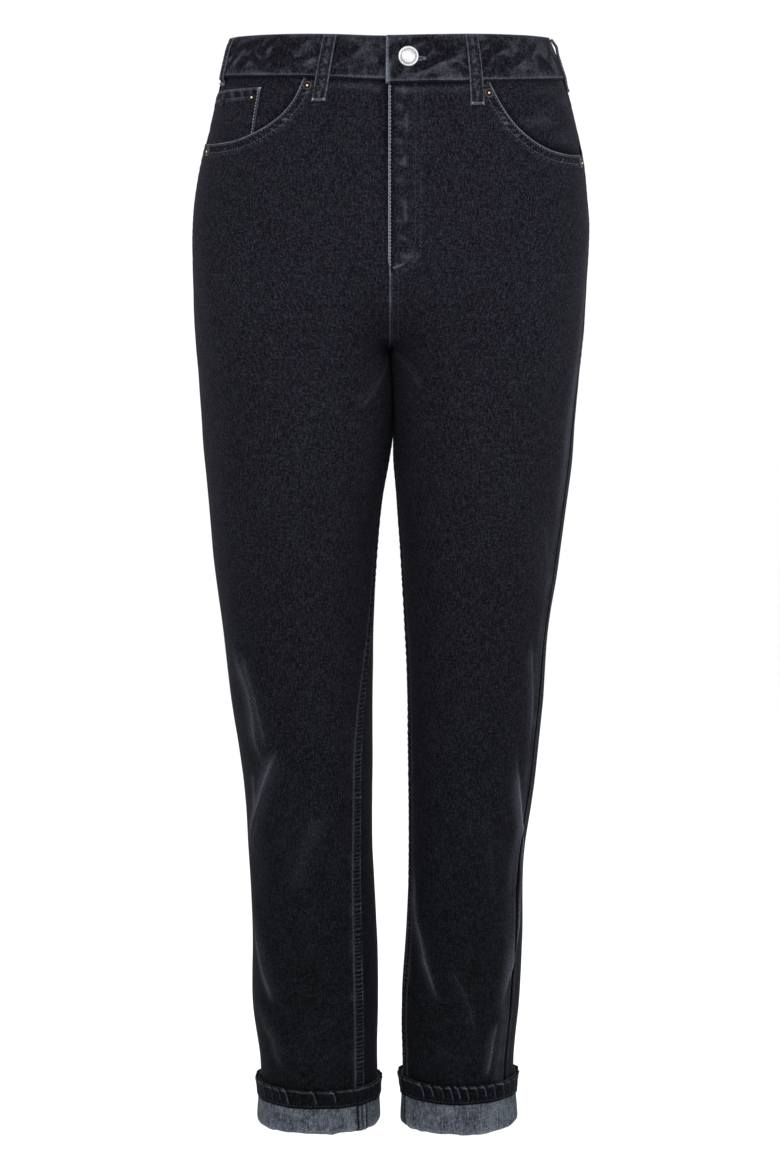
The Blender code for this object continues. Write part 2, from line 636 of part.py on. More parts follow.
def make_metal():
    r = BUTTON_RADIUS
    head = ((0, 0.0030), (0.45 * r, 0.0031), (0.55 * r, 0.0028), (0.72 * r, 0.0029), (0.84 * r, 0.0036),
            (0.95 * r, 0.0033), (r, 0.0024), (0.93 * r, 0.0013), (0.60 * r, 0.0009), (0.55 * r, 0), (0, 0))
    button = add_object("waist_button", turned_mesh("waist_button", head, 22), "silver")
    x, z = BUTTON_PLACE
    place_on_cloth(button, LEFT, phi_at(LEFT, x, z), z, BAND_OUT + BAND_LAP + SEAM_GAP)
    r = RIVET_RADIUS
    cap = ((0, 0.0019), (0.30 * r, 0.0018), (0.42 * r, 0.0012), (0.75 * r, 0.0011), (r, 0.0005), (0.9 * r, 0), (0, 0))
    for name, (side, x, z) in RIVETS.items():
        rivet = add_object("rivet_" + name, turned_mesh("rivet_" + name, cap, 12), "copper")
        place_on_cloth(rivet, side, phi_at(side, x, z), z, SEAM_GAP)


def main():
    for old in list(bpy.data.objects):
        bpy.data.objects.remove(old)
    bpy.context.scene.collection.children.link(bpy.data.collections.new(COLLECTION))
    for name, side in SIDES.items():
        make_front(name, side)
        panel = make_back(name, side)
        make_yoke(name, side)
        make_back_pocket(name, side, panel)
        make_cuff(name, side)
        make_hem(name, side)
    make_facing("right", RIGHT, LAYER_STEP)
    make_facing("left", LEFT, 0.0)
    make_coin_pocket()
    make_waistband()
    for row in LOOPS:
        make_belt_loop(**dict(zip(LOOP_COLUMNS, row)))
    make_metal()


main()
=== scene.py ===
from math import pi, radians
from types import SimpleNamespace

import bmesh
import bpy
import numpy as np
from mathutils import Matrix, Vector


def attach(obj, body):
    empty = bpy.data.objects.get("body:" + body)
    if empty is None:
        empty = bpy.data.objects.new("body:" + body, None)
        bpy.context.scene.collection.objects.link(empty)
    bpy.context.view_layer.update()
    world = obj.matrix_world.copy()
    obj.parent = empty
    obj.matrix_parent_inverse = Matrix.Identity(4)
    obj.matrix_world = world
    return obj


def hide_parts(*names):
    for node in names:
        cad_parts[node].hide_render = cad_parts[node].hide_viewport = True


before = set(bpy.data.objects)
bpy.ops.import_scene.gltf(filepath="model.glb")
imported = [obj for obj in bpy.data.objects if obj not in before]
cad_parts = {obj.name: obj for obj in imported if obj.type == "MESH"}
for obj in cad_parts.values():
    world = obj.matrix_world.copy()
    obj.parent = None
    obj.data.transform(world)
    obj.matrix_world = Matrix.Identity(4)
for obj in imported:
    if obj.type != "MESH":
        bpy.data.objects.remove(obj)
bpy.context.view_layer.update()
print("frame loaded:", len(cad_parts), "nodes")

# Mom jeans, filled out and turned up once. Metres, +Z up, -Y is the front, +X the wearer's left.
# A place on the cloth is side, phi, z and out. phi runs round one leg, from 0 at the inseam (or centre front)
# over pi at the side to a full turn at the inseam again (or centre back).

right, left = -1, 1
sideNames = {right: "right", left: "left"}

# The garment's form, the same as the solids'
form = {
    "crotch": -0.267,
    "frontRise": 0.110,
    "backRise": 0.165,
    "frontFull": 0.05,
    "legEnd": -0.9955,
    "topJoin": -0.118,
    "flyTurn": -0.182,
    "flyFoot": -0.190,
    "flyFlat": -0.205,
    "flyEdge": 0.0015,
    "flyTuck": 0.0120,
    "flyFlatX": 0.005,
    "flyRampX": 0.025,
    "thighsPart": -0.300,
    "sectionColumns": (
        "z", "outer_right", "inner_right", "inner_left", "outer_left", "front", "back", "seat",
    ),
    "sections": (
        (0.0195, 0.1443, 0.0000, 0.0000, 0.1443, 0.0840, 0.0880, 0.02),
        (-0.0208, 0.1556, 0.0000, 0.0000, 0.1593, 0.0920, 0.0930, 0.03),
        (-0.0570, 0.1641, 0.0000, 0.0000, 0.1696, 0.0985, 0.1005, 0.05),
        (-0.0940, 0.1736, 0.0000, 0.0000, 0.1782, 0.1040, 0.1100, 0.07),
        (-0.1310, 0.1803, 0.0000, 0.0000, 0.1822, 0.1080, 0.1190, 0.09),
        (-0.1670, 0.1834, 0.0000, 0.0000, 0.1843, 0.1090, 0.1280, 0.11),
        (-0.2050, 0.1837, 0.0000, 0.0000, 0.1827, 0.1090, 0.1320, 0.12),
        (-0.2670, 0.1815, 0.0000, 0.0000, 0.1795, 0.1070, 0.1260, 0.12),
        (-0.3000, 0.1785, -0.0060, 0.0000, 0.1760, 0.1050, 0.1170, 0.10),
        (-0.3350, 0.1753, -0.0033, 0.0033, 0.1725, 0.1030, 0.1100, 0.05),
        (-0.3720, 0.1728, 0.0019, 0.0040, 0.1700, 0.1005, 0.1025, 0.03),
        (-0.4100, 0.1693, 0.0084, 0.0075, 0.1656, 0.0970, 0.0990, 0.02),
        (-0.4660, 0.1650, 0.0131, 0.0113, 0.1585, 0.0910, 0.0920, 0.02),
        (-0.5420, 0.1552, 0.0160, 0.0150, 0.1477, 0.0830, 0.0820, 0.02),
        (-0.6000, 0.1489, 0.0160, 0.0170, 0.1442, 0.0780, 0.0760, 0.02),
        (-0.6760, 0.1381, 0.0170, 0.0180, 0.1371, 0.0710, 0.0720, 0.02),
        (-0.7530, 0.1338, 0.0161, 0.0180, 0.1271, 0.0610, 0.0720, 0.02),
        (-0.8310, 0.1313, 0.0124, 0.0152, 0.1256, 0.0570, 0.0700, 0.02),
        (-0.8900, 0.1316, 0.0114, 0.0118, 0.1240, 0.0500, 0.0660, 0.02),
        (-0.9500, 0.1250, 0.0124, 0.0126, 0.1190, 0.0450, 0.0640, 0.02),
        (-1.0100, 0.1244, 0.0115, 0.0125, 0.1188, 0.0450, 0.0620, 0.02),
    ),
    "seamColumns": ("z", "in_right", "out_right", "in_left", "out_left"),  # degrees
    "seams": (
        (0.020, 0, 184, 0, 170),
        (-0.200, 0, 186, 0, 169),
        (-0.267, 0, 190, 0, 166),
        (-0.350, 3, 193, 3, 161),
        (-0.450, 10, 196, 8, 158),
        (-0.540, 20, 202, 11, 156),
        (-0.600, 33, 212, 13, 155),
        (-0.720, 41, 221, 15, 150),
        (-0.830, 45, 225, 17, 146),
        (-1.010, 45, 225, 17, 144),
    ),
    "waistColumns": ("phi", "seam_right", "seam_left", "top"),
    "waist": (
        (-20, -0.0213, -0.0241, 0.0185),
        (0, -0.0213, -0.0241, 0.0185),
        (60, -0.0186, -0.0224, 0.0200),
        (180, -0.0188, -0.0206, 0.0170),
        (360, -0.0195, -0.0195, 0.0188),
    ),
    "yokeSide": -0.046,
    "yokeMiddle": -0.086,
    "mouths": {
        right: ((0.0771, -0.0187), (0.0854, -0.0364), (0.0965, -0.0506), (0.1105, -0.0615),
                (0.1199, -0.0669), (0.1367, -0.0743), (0.1541, -0.0781), (0.1670, -0.0793)),
        left: ((0.0885, -0.0217), (0.0980, -0.0399), (0.1092, -0.0569), (0.1214, -0.0695),
               (0.1375, -0.0805), (0.1555, -0.0871), (0.1740, -0.0894)),
    },
    "legRadius": 0.062,
}

cloth = {
    "thick": 0.0012,
    "inside": 0.0014,     # the inner face keeps clear of the outer face's dents
    "gap": 0.0003,
    "step": 0.0015,       # one layer down
    "lap": 0.0007,        # the wearer's left over the right at the centre seams
    "lapBelow": 0.006,    # and how far down past the crotch
    "innerStep": 4,       # rows and columns of the outer face to each one of the inner face
}

# Folds of the whole leg, as in the solids: from phi (degrees) and z, to phi and z, width, height
folds = {
    right: (
        (116, -0.65, 148, -0.728, 0.011, 0.0026), (154, -0.8, 128, -0.876, 0.01, 0.0024),
        (143, -0.896, 127, -0.928, 0.009, 0.002), (82, -0.705, 104, -0.76, 0.012, 0.0014),
        (246, -0.64, 292, -0.69, 0.012, 0.0026), (318, -0.715, 270, -0.77, 0.011, 0.0024),
        (250, -0.85, 296, -0.905, 0.01, 0.0022),
    ),
    left: (
        (131, -0.668, 151, -0.755, 0.011, 0.0024), (152, -0.77, 129, -0.883, 0.01, 0.0024),
        (135, -0.896, 132, -0.928, 0.009, 0.0018), (28, -0.79, 46, -0.842, 0.01, 0.002),
        (240, -0.65, 290, -0.7, 0.012, 0.0026), (312, -0.73, 262, -0.785, 0.011, 0.0024),
        (236, -0.87, 286, -0.915, 0.01, 0.0022),
    ),
}

# Creases: width, height (a trough is negative), how pale the crest is painted, as a highlight and as fading,
# and the line as pairs of phi (degrees) and z, from the top down
creases = {
    right: (
        (0.0048, 0.0013, 0.24, ((148.5, -0.5355), (146, -0.552), (136, -0.5805), (133.5, -0.602),
            (133, -0.631), (125.8, -0.652))),
        (0.0052, 0.0009, 0.16, ((138.8, -0.5435), (134.3, -0.567), (127.8, -0.5955), (124.5, -0.6195),
            (123.7, -0.637))),
        (0.0046, 0.0016, 0.3, ((111.5, -0.6325), (121.2, -0.654), (137.8, -0.688), (155.4, -0.719),
            (161.5, -0.738))),
        (0.004, 0.001, 0.22, ((142.3, -0.659), (143.5, -0.6775), (142.2, -0.6985))),
        (0.0036, 0.0017, 0.34, ((166.8, -0.802), (153.2, -0.824), (142.8, -0.852), (132.2, -0.8715),
            (128.8, -0.8825))),
        (0.0044, 0.0011, 0.08, ((146.5, -0.9), (133, -0.918), (130, -0.9335), (125.3, -0.9495))),
        (0.006, -0.001, 0.02, ((96, -0.668), (108, -0.7), (116, -0.742))),
        (0.0055, 0.0003, 0.01, ((84, -0.772), (92, -0.801), (96, -0.846))),
        (0.005, 0.0004, 0.02, ((62, -0.884), (78, -0.903), (100, -0.916))),
        (0.0044, -0.0009, 0.02, ((70, -0.93), (92, -0.938), (116, -0.934))),
        (0.005, -0.0012, 0.02, ((13, -0.2585), (24, -0.272), (40, -0.29))),
        (0.0046, 0.0009, 0.1, ((10, -0.27), (26, -0.287), (52, -0.32))),
        (0.006, -0.0012, 0.02, ((318, -0.3), (292, -0.318), (262, -0.322))),
        (0.0055, 0.001, 0.12, ((322, -0.33), (296, -0.352), (272, -0.36))),
        (0.005, 0.0008, 0.08, ((326, -0.366), (306, -0.384), (290, -0.388))),
        (0.0044, 0.0015, 0.26, ((232, -0.64), (258, -0.668), (290, -0.69), (304, -0.716))),
        (0.0052, -0.0012, 0.03, ((228, -0.672), (262, -0.702), (296, -0.722))),
        (0.004, 0.0013, 0.22, ((244, -0.724), (276, -0.745), (316, -0.752))),
        (0.005, 0.0009, 0.1, ((318, -0.788), (290, -0.812), (262, -0.85))),
        (0.004, 0.0012, 0.22, ((240, -0.866), (272, -0.893), (306, -0.902))),
        (0.0044, 0.001, 0.12, ((250, -0.92), (280, -0.934), (314, -0.94))),
    ),
    left: (
        (0.0036, 0.0011, 0.24, ((137.8, -0.5335), (143, -0.582), (144.5, -0.6105), (144, -0.6345))),
        (0.0036, 0.0017, 0.56, ((128.5, -0.6375), (132.8, -0.6735), (142.8, -0.7045), (153.5, -0.7295),
            (160.4, -0.755), (152.9, -0.7965), (145.3, -0.8395), (134.8, -0.8675), (128.5, -0.8895))),
        (0.0034, 0.0007, 0.24, ((127.6, -0.9), (124.2, -0.921), (122.6, -0.942), (119.2, -0.956))),
        (0.0036, 0.0011, 0.24, ((26, -0.748), (27.3, -0.7625), (34.2, -0.8025), (42.8, -0.823),
            (50.2, -0.844), (59.2, -0.865), (66.8, -0.8805))),
        (0.006, 0.0009, 0.07, ((135.8, -0.4205), (143.5, -0.4595), (147.2, -0.4975))),
        (0.006, -0.0009, 0.02, ((104, -0.69), (112, -0.732), (120, -0.786))),
        (0.005, 0.0006, 0.06, ((76, -0.846), (92, -0.872), (104, -0.908))),
        (0.0046, -0.0008, 0.02, ((58, -0.918), (82, -0.932), (108, -0.935))),
        (0.0046, 0.0009, 0.09, ((12, -0.264), (28, -0.275), (50, -0.301))),
        (0.0052, -0.001, 0.02, ((16, -0.283), (36, -0.304), (58, -0.343))),
        (0.006, -0.0012, 0.02, ((316, -0.302), (290, -0.322), (260, -0.328))),
        (0.0055, 0.001, 0.12, ((320, -0.334), (294, -0.358), (268, -0.366))),
        (0.0044, 0.0015, 0.26, ((218, -0.648), (250, -0.676), (286, -0.7), (300, -0.724))),
        (0.0052, -0.0012, 0.03, ((214, -0.69), (256, -0.716), (292, -0.736))),
        (0.004, 0.0012, 0.2, ((310, -0.742), (276, -0.762), (240, -0.776))),
        (0.005, 0.0009, 0.1, ((226, -0.8), (258, -0.826), (298, -0.842))),
        (0.004, 0.0012, 0.22, ((230, -0.874), (266, -0.9), (300, -0.908))),
        (0.0044, 0.001, 0.12, ((244, -0.93), (276, -0.94), (308, -0.946))),
    ),
}

# Seam relief
seams = {
    "fellHalf": 0.0050,        # the inseam's lapped fell
    "fellRise": 0.0014,
    "fellRows": (-0.0034, 0.0030),
    "dip": 0.00035,            # how far a row of stitches pulls the cloth in
    "dipHalf": 0.0008,
    "pucker": 0.00034,
    "puckerReach": 0.0075,
    "puckerPitch": 0.0074,
    "groove": 0.0013,          # the side seam
    "grooveHalf": 0.0011,
    "ridge": 0.0006,
    "ridgeAway": 0.0042,
    "lapRise": 0.0008,         # the seat seam, the rise and the yoke
    "lapWide": 0.0085,
    "riseRows": (0.0022, 0.0076),
    "yokeRows": (0.0020, 0.0074),
    "mouthRise": 0.0006,
    "mouthWide": 0.0105,
    "mouthRows": (0.0021, 0.0083),
    "flyRise": 0.0006,
    "flyRows": (0.0, 0.0062),
    # Size and height of the cloth's unevenness
    "soft": ((0.055, 0.0009), (0.021, 0.00026), (0.009, 0.00005)),
}


# A smooth curve through points given in rising order
def smooth(x, xs, ys):
    xs, ys = np.asarray(xs, float), np.asarray(ys, float)
    steps = np.diff(ys) / np.diff(xs)
    slopes = np.concatenate([steps[:1], (steps[:-1] + steps[1:]) / 2, steps[-1:]])
    x = np.clip(x, xs[0], xs[-1])
    i = np.clip(np.searchsorted(xs, x) - 1, 0, len(xs) - 2)
    width = xs[i + 1] - xs[i]
    t = (x - xs[i]) / width
    low = ys[i] * (1 + 2 * t) + slopes[i] * width * t
    high = ys[i + 1] * (3 - 2 * t) - slopes[i + 1] * width * (1 - t)
    return low * (1 - t) ** 2 + high * t ** 2


def ease(x, start, end):
    t = np.clip((x - start) / (end - start), 0, 1)
    return t * t * (3 - 2 * t)


def bell(x, half):
    return np.exp(-(x / half) ** 2)


def column(table, name):
    names = form[{"sections": "sectionColumns", "seams": "seamColumns", "waist": "waistColumns"}[table]]
    return [row[names.index(name)] for row in form[table]]


def section(name, z):
    return smooth(-np.asarray(z), [-v for v in column("sections", "z")], column("sections", name))


def seamAngle(which, side, z):
    return np.radians(smooth(-np.asarray(z), [-v for v in column("seams", "z")],
                             column("seams", which + "_" + sideNames[side])))


def waistHeight(name, phi):
    return smooth(phi, np.radians(column("waist", "phi")), column("waist", name))


def waistSeam(side, phi):
    return waistHeight("seam_" + sideNames[side], phi)


def yokeHeight(side, phi):
    start = seamAngle("out", side, form["yokeSide"])
    share = np.clip((phi - start) / (2 * pi - start), 0, 1)
    return form["yokeSide"] + (form["yokeMiddle"] - form["yokeSide"]) * share ** 1.15


# Even noise from -1 to 1, the same on each run
def softNoise(u, v, size, seed=0):
    u, v = np.asarray(u) / size, np.asarray(v) / size
    wholeU, wholeV = np.floor(u), np.floor(v)
    partU, partV = u - wholeU, v - wholeV
    partU, partV = partU * partU * (3 - 2 * partU), partV * partV * (3 - 2 * partV)

    def corner(a, b):
        value = np.sin((wholeU + a) * 127.1 + (wholeV + b) * 311.7 + seed * 74.7) * 43758.5453
        return 2 * (value - np.floor(value)) - 1

    low = corner(0, 0) * (1 - partU) + corner(1, 0) * partU
    high = corner(0, 1) * (1 - partU) + corner(1, 1) * partU
    return low * (1 - partV) + high * partV


# Two legs, each an ellipse, below the crotch, and one trunk above it
def bodyPoint(side, phi, z):
    phi, z = np.broadcast_arrays(np.asarray(phi, float), np.asarray(z, float))
    outer = section("outer_" + sideNames[side], z)
    inner = section("inner_" + sideNames[side], z)
    front, back = section("front", z), section("back", z)
    middle, depth = (back - front) / 2, (back + front) / 2
    legX = (outer + inner) / 2 - (outer - inner) / 2 * np.cos(phi)
    legY = middle - depth * np.sin(phi)
    fullness = 1 + np.where(phi < pi, form["frontFull"], section("seat", z)) * np.sin(phi) ** 2
    trunkX = outer * np.sin(phi / 2) * fullness
    trunkY = middle - depth * np.cos(phi / 2) * fullness
    near = np.clip(np.cos(phi - seamAngle("in", side, z)), 0, 1) ** 2
    climb = (z - form["crotch"]) / np.where(phi < pi, form["frontRise"], form["backRise"])
    soft = 0.35 * (1 - near) + 1e-6
    climb = np.where(climb < -soft, 0, np.where(climb > soft, climb, (climb + soft) ** 2 / (4 * soft)))
    rise = (1 - (1 - np.clip(climb, 0, 1)) ** 2) ** (1 - 0.5 * near ** 6)
    weight = near * rise + (1 - near) * ease(z, form["crotch"] - 0.06, form["crotch"] + 0.15)
    x = legX + (trunkX - legX) * weight
    y = legY + (trunkY - legY) * weight
    return np.stack([side * x, y, z], axis=-1)


def outward(side, phi, z):
    step = 0.0005
    across = bodyPoint(side, phi + step, z) - bodyPoint(side, phi - step, z)
    along = bodyPoint(side, phi, z + step) - bodyPoint(side, phi, z - step)
    normal = np.cross(across, along) * side
    return normal / np.linalg.norm(normal, axis=-1, keepdims=True)


# Distance round the leg for each radian
def roundness(side, phi, z):
    step = 0.002
    ahead, behind = bodyPoint(side, phi + step, z), bodyPoint(side, phi - step, z)
    return np.linalg.norm(ahead - behind, axis=-1) / (2 * step)


def raised(side, phi, z, out):
    return bodyPoint(side, phi, z) + outward(side, phi, z) * np.asarray(out)[..., None]


def phiAt(side, x, z):
    angles = np.linspace(-0.4, pi, 600)
    return float(np.interp(x, side * bodyPoint(side, angles, z)[:, 0], angles))


def lengthAlong(points):
    steps = np.linalg.norm(np.diff(points, axis=0), axis=1)
    return np.concatenate([[0], np.cumsum(steps)])


def pathOn(side, places, count=70):
    angles = [phiAt(side, x, z) for x, z in places]
    run = lengthAlong(np.array(places))
    t = np.linspace(0, run[-1], count)
    return smooth(t, run, angles), smooth(t, run, [z for x, z in places])


# Distance on the cloth to a path, up to a reach, and how far along the path
def pathDistance(path, phi, z, turn, reach=0.02):
    away, along = np.full(phi.shape, reach), np.zeros(phi.shape)
    pathPhi, pathZ = path
    margin = reach / 0.05
    near = (phi > pathPhi.min() - margin) & (phi < pathPhi.max() + margin)
    near &= (z > pathZ.min() - reach) & (z < pathZ.max() + reach)
    if not near.any():
        return away, along
    u, v, scale = phi[near], z[near], turn[near]
    best, place, travelled = away[near], along[near], 0.0
    for i in range(len(pathPhi) - 1):
        startU, startV = (u - pathPhi[i]) * scale, v - pathZ[i]
        runU, runV = (pathPhi[i + 1] - pathPhi[i]) * scale, pathZ[i + 1] - pathZ[i]
        length = np.maximum(np.hypot(runU, runV), 1e-7)
        t = np.clip((startU * runU + startV * runV) / length ** 2, 0, 1)
        gap = np.hypot(startU - t * runU, startV - t * runV)
        place = np.where(gap < best, travelled + t * length, place)
        best = np.minimum(gap, best)
        travelled = travelled + float(np.mean(length))
    away[near], along[near] = best, place
    return away, along


mouthPaths = {side: pathOn(side, places) for side, places in form["mouths"].items()}

# The curved stitching beside the fly, on the wearer's left: distance from the centre line, and height
fly = {
    "outer": ((0.0300, -0.0240), (0.0294, -0.0600), (0.0290, -0.1000), (0.0290, -0.1350), (0.0291, -0.1573),
              (0.0277, -0.1713), (0.0234, -0.1825), (0.0121, -0.1924), (0.0010, -0.1990)),
    "ripples": ((0.0115, -0.030), (0.0105, -0.045), (0.0125, -0.060), (0.0095, -0.076), (0.0120, -0.094),
                (0.0100, -0.110), (0.0125, -0.128), (0.0110, -0.146), (0.0130, -0.162), (0.0150, -0.178),
                (0.0060, -0.186), (0.0215, -0.1775)),
}
flyPath = pathOn(left, fly["outer"])


def creaseField(side, phi, z):
    phi, z = np.broadcast_arrays(np.asarray(phi, float), np.asarray(z, float))
    height, crestLightAndFade = np.zeros(phi.shape), np.zeros(phi.shape)
    turn = np.mod(phi, 2 * pi) * form["legRadius"]
    for phiStart, zStart, phiEnd, zEnd, width, rise in folds[side]:
        start = np.array([radians(phiStart) * form["legRadius"], zStart])
        run = np.array([radians(phiEnd) * form["legRadius"], zEnd]) - start
        u, v = turn - start[0], z - start[1]
        t = np.clip((u * run[0] + v * run[1]) / run.dot(run), 0, 1)
        gone = bell(np.hypot(u - t * run[0], v - t * run[1]), width)
        height = height + rise * gone
        # Each fold's ridge is paled: painted highlight along with the ridge's fading
        crestLightAndFade = crestLightAndFade + 0.035 * gone ** 2
    for crease in creases[side]:
        places = crease[3]
        near = (z > places[-1][1] - 0.03) & (z < places[0][1] + 0.03)
        if near.any():
            more, moreCrestLight = oneCrease(side, turn[near], z[near], *crease)
            height[near] += more
            crestLightAndFade[near] += moreCrestLight
    return height, crestLightAndFade


def oneCrease(side, u, v, width, rise, paler, places):
    run = lengthAlong(np.array(places) * (0.0011, 1))   # metres for each degree, and for each metre
    t = np.linspace(0, run[-1], 6 * len(places))
    pathU = np.radians(smooth(t, run, [p[0] for p in places])) * form["legRadius"]
    pathV = smooth(t, run, [p[1] for p in places])
    away, beside, place = np.full(u.shape, 1.0), np.zeros(u.shape), np.zeros(u.shape)
    for i in range(len(t) - 1):
        runU, runV = pathU[i + 1] - pathU[i], pathV[i + 1] - pathV[i]
        length = np.hypot(runU, runV)
        s = np.clip(((u - pathU[i]) * runU + (v - pathV[i]) * runV) / length ** 2, 0, 1)
        gap = np.hypot(u - pathU[i] - s * runU, v - pathV[i] - s * runV)
        across = ((v - pathV[i]) * runU - (u - pathU[i]) * runV) / length
        closer = gap < away
        place = np.where(closer, (i + s) / (len(t) - 1), place)
        beside = np.where(closer, np.where(across > 0, gap, -gap) * -side, beside)
        away = np.minimum(gap, away)
    taper = ease(place, -0.02, 0.22) * ease(1 - place, -0.02, 0.22)
    taper = taper * (0.82 + 0.18 * softNoise(place * run[-1], 0, 0.017, int(1e4 * abs(places[0][1]))))
    wide = width * (0.7 + 0.4 * taper)
    soft = np.exp(-np.abs(beside / wide) ** 1.4)
    steep = np.exp(-np.abs(beside / (0.45 * wide)) ** 1.4)
    ridge = np.where(beside > 0, soft, steep) - 0.30 * bell(beside + wide, wide * 0.55)
    # The crest line and a broad band on the crease's soft, lit side are paled: painted highlight along with
    # the crest's fading
    crest = bell(beside - 0.0002, 0.0012) + 0.38 * bell(beside - 0.6 * wide, 1.3 * wide)
    return rise * taper * (ridge if rise > 0 else bell(beside, wide)), paler * taper * crest


def puckers(distance, run, seed, strength=1.0):
    wave = np.sin(2 * pi * run / seams["puckerPitch"] + 3.2 * softNoise(run, distance * 0.4, 0.017, seed))
    size = 0.55 + 0.45 * softNoise(run, 0, 0.031, seed + 1)
    return strength * seams["pucker"] * size * wave * bell(distance, seams["puckerReach"])


# How far rows of stitches pull the cloth in, at a distance from the seam that they follow
def rowDips(distance, rows):
    return -seams["dip"] * sum(bell(distance - row, seams["dipHalf"]) for row in rows)


# What shapes the outer face, fades its dye and paints shade and highlights on it. Each part of the look takes
# a spot, which carries what the parts share, and gives back a height above the form, and a wear and shade
# from -1, painted shade, over 0 to 2, rubbed bare.
def spotAt(side, phi, z):
    phi, z = [np.array(a) for a in np.broadcast_arrays(np.asarray(phi, float), np.asarray(z, float))]
    turn = roundness(side, phi, z)
    u = phi * turn
    return SimpleNamespace(
        side=side, phi=phi, z=z, turn=turn, u=u,
        x=side * bodyPoint(side, phi, z)[..., 0],
        onFront=phi < pi,
        patchy=0.65 + 0.35 * softNoise(u, z, 0.012, seed=8),
        beads=0.5 + 0.5 * np.sin(2 * pi * z / 0.0036 + 2.2 * softNoise(u, z, 0.02, seed=2)),
    )


def clothLook(at):
    height = sum(rise * softNoise(at.u, at.z * 0.6, size, seed=at.side + 3) for size, rise in seams["soft"])
    return height, 0.012 * at.patchy + 0.012 * softNoise(at.u, at.z, 0.0030, seed=5)


def inseamLook(at):
    legs = 1 - ease(at.z, form["crotch"] - 0.012, form["crotch"] + 0.004)
    wrapped = np.where(at.phi > 1.5 * pi, at.phi - 2 * pi, at.phi)
    away = (wrapped - seamAngle("in", at.side, at.z)) * at.turn
    half = seams["fellHalf"]
    bead = np.sin(2 * pi * at.z / 0.0041 + 2.6 * softNoise(at.z, 0 * at.z, 0.013, 15))
    bead = bead * bell(away + 0.0004, half * 0.62)
    fell = seams["fellRise"] * (1 - ease(away, half * 0.2, half * 1.4))
    height = legs * puckers(away, at.z + away * 0.4, 11, 1.5)
    height += legs * at.onFront * (fell + rowDips(away, seams["fellRows"]) + 0.00018 * bead)
    # Between the beads and beside the fell's edge the cloth darkens: painted shade; the pale beads and edges
    # are wear
    wearAndShade = (0.32 * np.clip(bead, 0, 1) + 0.9 * np.clip(bead, -1, 0)) * (0.6 + 0.4 * at.patchy)
    wearAndShade -= 0.7 * bell(away + half + 0.0012, 0.0013)
    wearAndShade += 0.46 * bell(away + half - 0.0006, 0.0009) * at.patchy
    wearAndShade += 0.10 * bell(away, half * 0.8) * at.beads * at.patchy
    wearAndShade += 0.24 * bell(away - half * 1.1, 0.0010) * (0.6 + 0.4 * at.beads)
    wearAndShade += 0.06 * bell(away - half * 1.6, 0.0028) * np.clip(at.patchy * 2 - 1.1, 0, 1)
    return height, legs * at.onFront * wearAndShade


def outseamLook(at):
    away = (at.phi - seamAngle("out", at.side, at.z)) * at.turn
    height = seams["ridge"] * bell(np.abs(away) - seams["ridgeAway"], 0.0026)
    height -= seams["groove"] * bell(away, seams["grooveHalf"])
    height += puckers(away, at.z, 21, 0.8)
    wearAndShade = 0.22 * at.patchy * bell(away + 0.0032, 0.0012) * (0.6 + 0.4 * at.beads)
    wearAndShade += 0.12 * at.patchy * (bell(away + 0.0085, 0.0060) + bell(away - 0.0036, 0.0022))
    wearAndShade += 0.14 * bell(away + 0.011, 0.009) * bell(at.z + 0.31, 0.10)
    # The groove is darkened: painted shade
    return height, wearAndShade - 1.1 * bell(away, 0.0016)


# The seat seam and the rise under the fly, where the wearer's left lies over the right
def riseLook(at):
    middle = np.abs(at.x)
    trunk = ease(at.z, form["crotch"] - 0.01, form["crotch"] + 0.004)
    belowFly = ease(-at.z, -form["flyFoot"] - 0.004, -form["flyFoot"] + 0.004)
    risen = trunk * np.where(at.onFront, belowFly, 1)
    besideFly = trunk * np.where(at.onFront, 1 - belowFly, 0)
    height = risen * puckers(middle, at.z, 31) + besideFly * puckers(middle - 0.001, at.z, 33, 0.8)
    if at.side == right:
        return height, 0
    lap = seams["lapRise"] * (1 - ease(middle, seams["lapWide"] - 0.002, seams["lapWide"] + 0.001))
    height += risen * (lap + rowDips(middle, seams["riseRows"]))
    bare = np.where(at.onFront, 0.62 + 0.4 * ease(at.z, -0.214, -0.200), 0.45)
    between = np.where(at.onFront, 0.06, 0.22)
    wearAndShade = bare * bell(middle, 0.0010) + between * bell(middle - 0.0045, 0.0030) * at.beads
    return height, risen * wearAndShade * at.patchy


def waistLook(at):
    below = waistSeam(at.side, at.phi) - at.z
    height = puckers(below, at.u, 41, 0.9) * (below > -0.002)
    # A dark line at the waist seam: painted shadow under the band
    return height, 0.12 * bell(below - 0.0065, 0.003) * at.patchy - 0.75 * bell(below, 0.0017)


def yokeLook(at):
    above = at.z - yokeHeight(at.side, at.phi)
    height = seams["lapRise"] * (above > 0) * (1 - ease(above, 0.007, 0.0095))
    height = height + puckers(-above, at.u, 51) + rowDips(above, seams["yokeRows"])
    wearAndShade = 0.42 * bell(above - 0.0005, 0.0010) + 0.2 * bell(above - 0.0045, 0.003)
    return height * ~at.onFront, wearAndShade * at.patchy * ~at.onFront


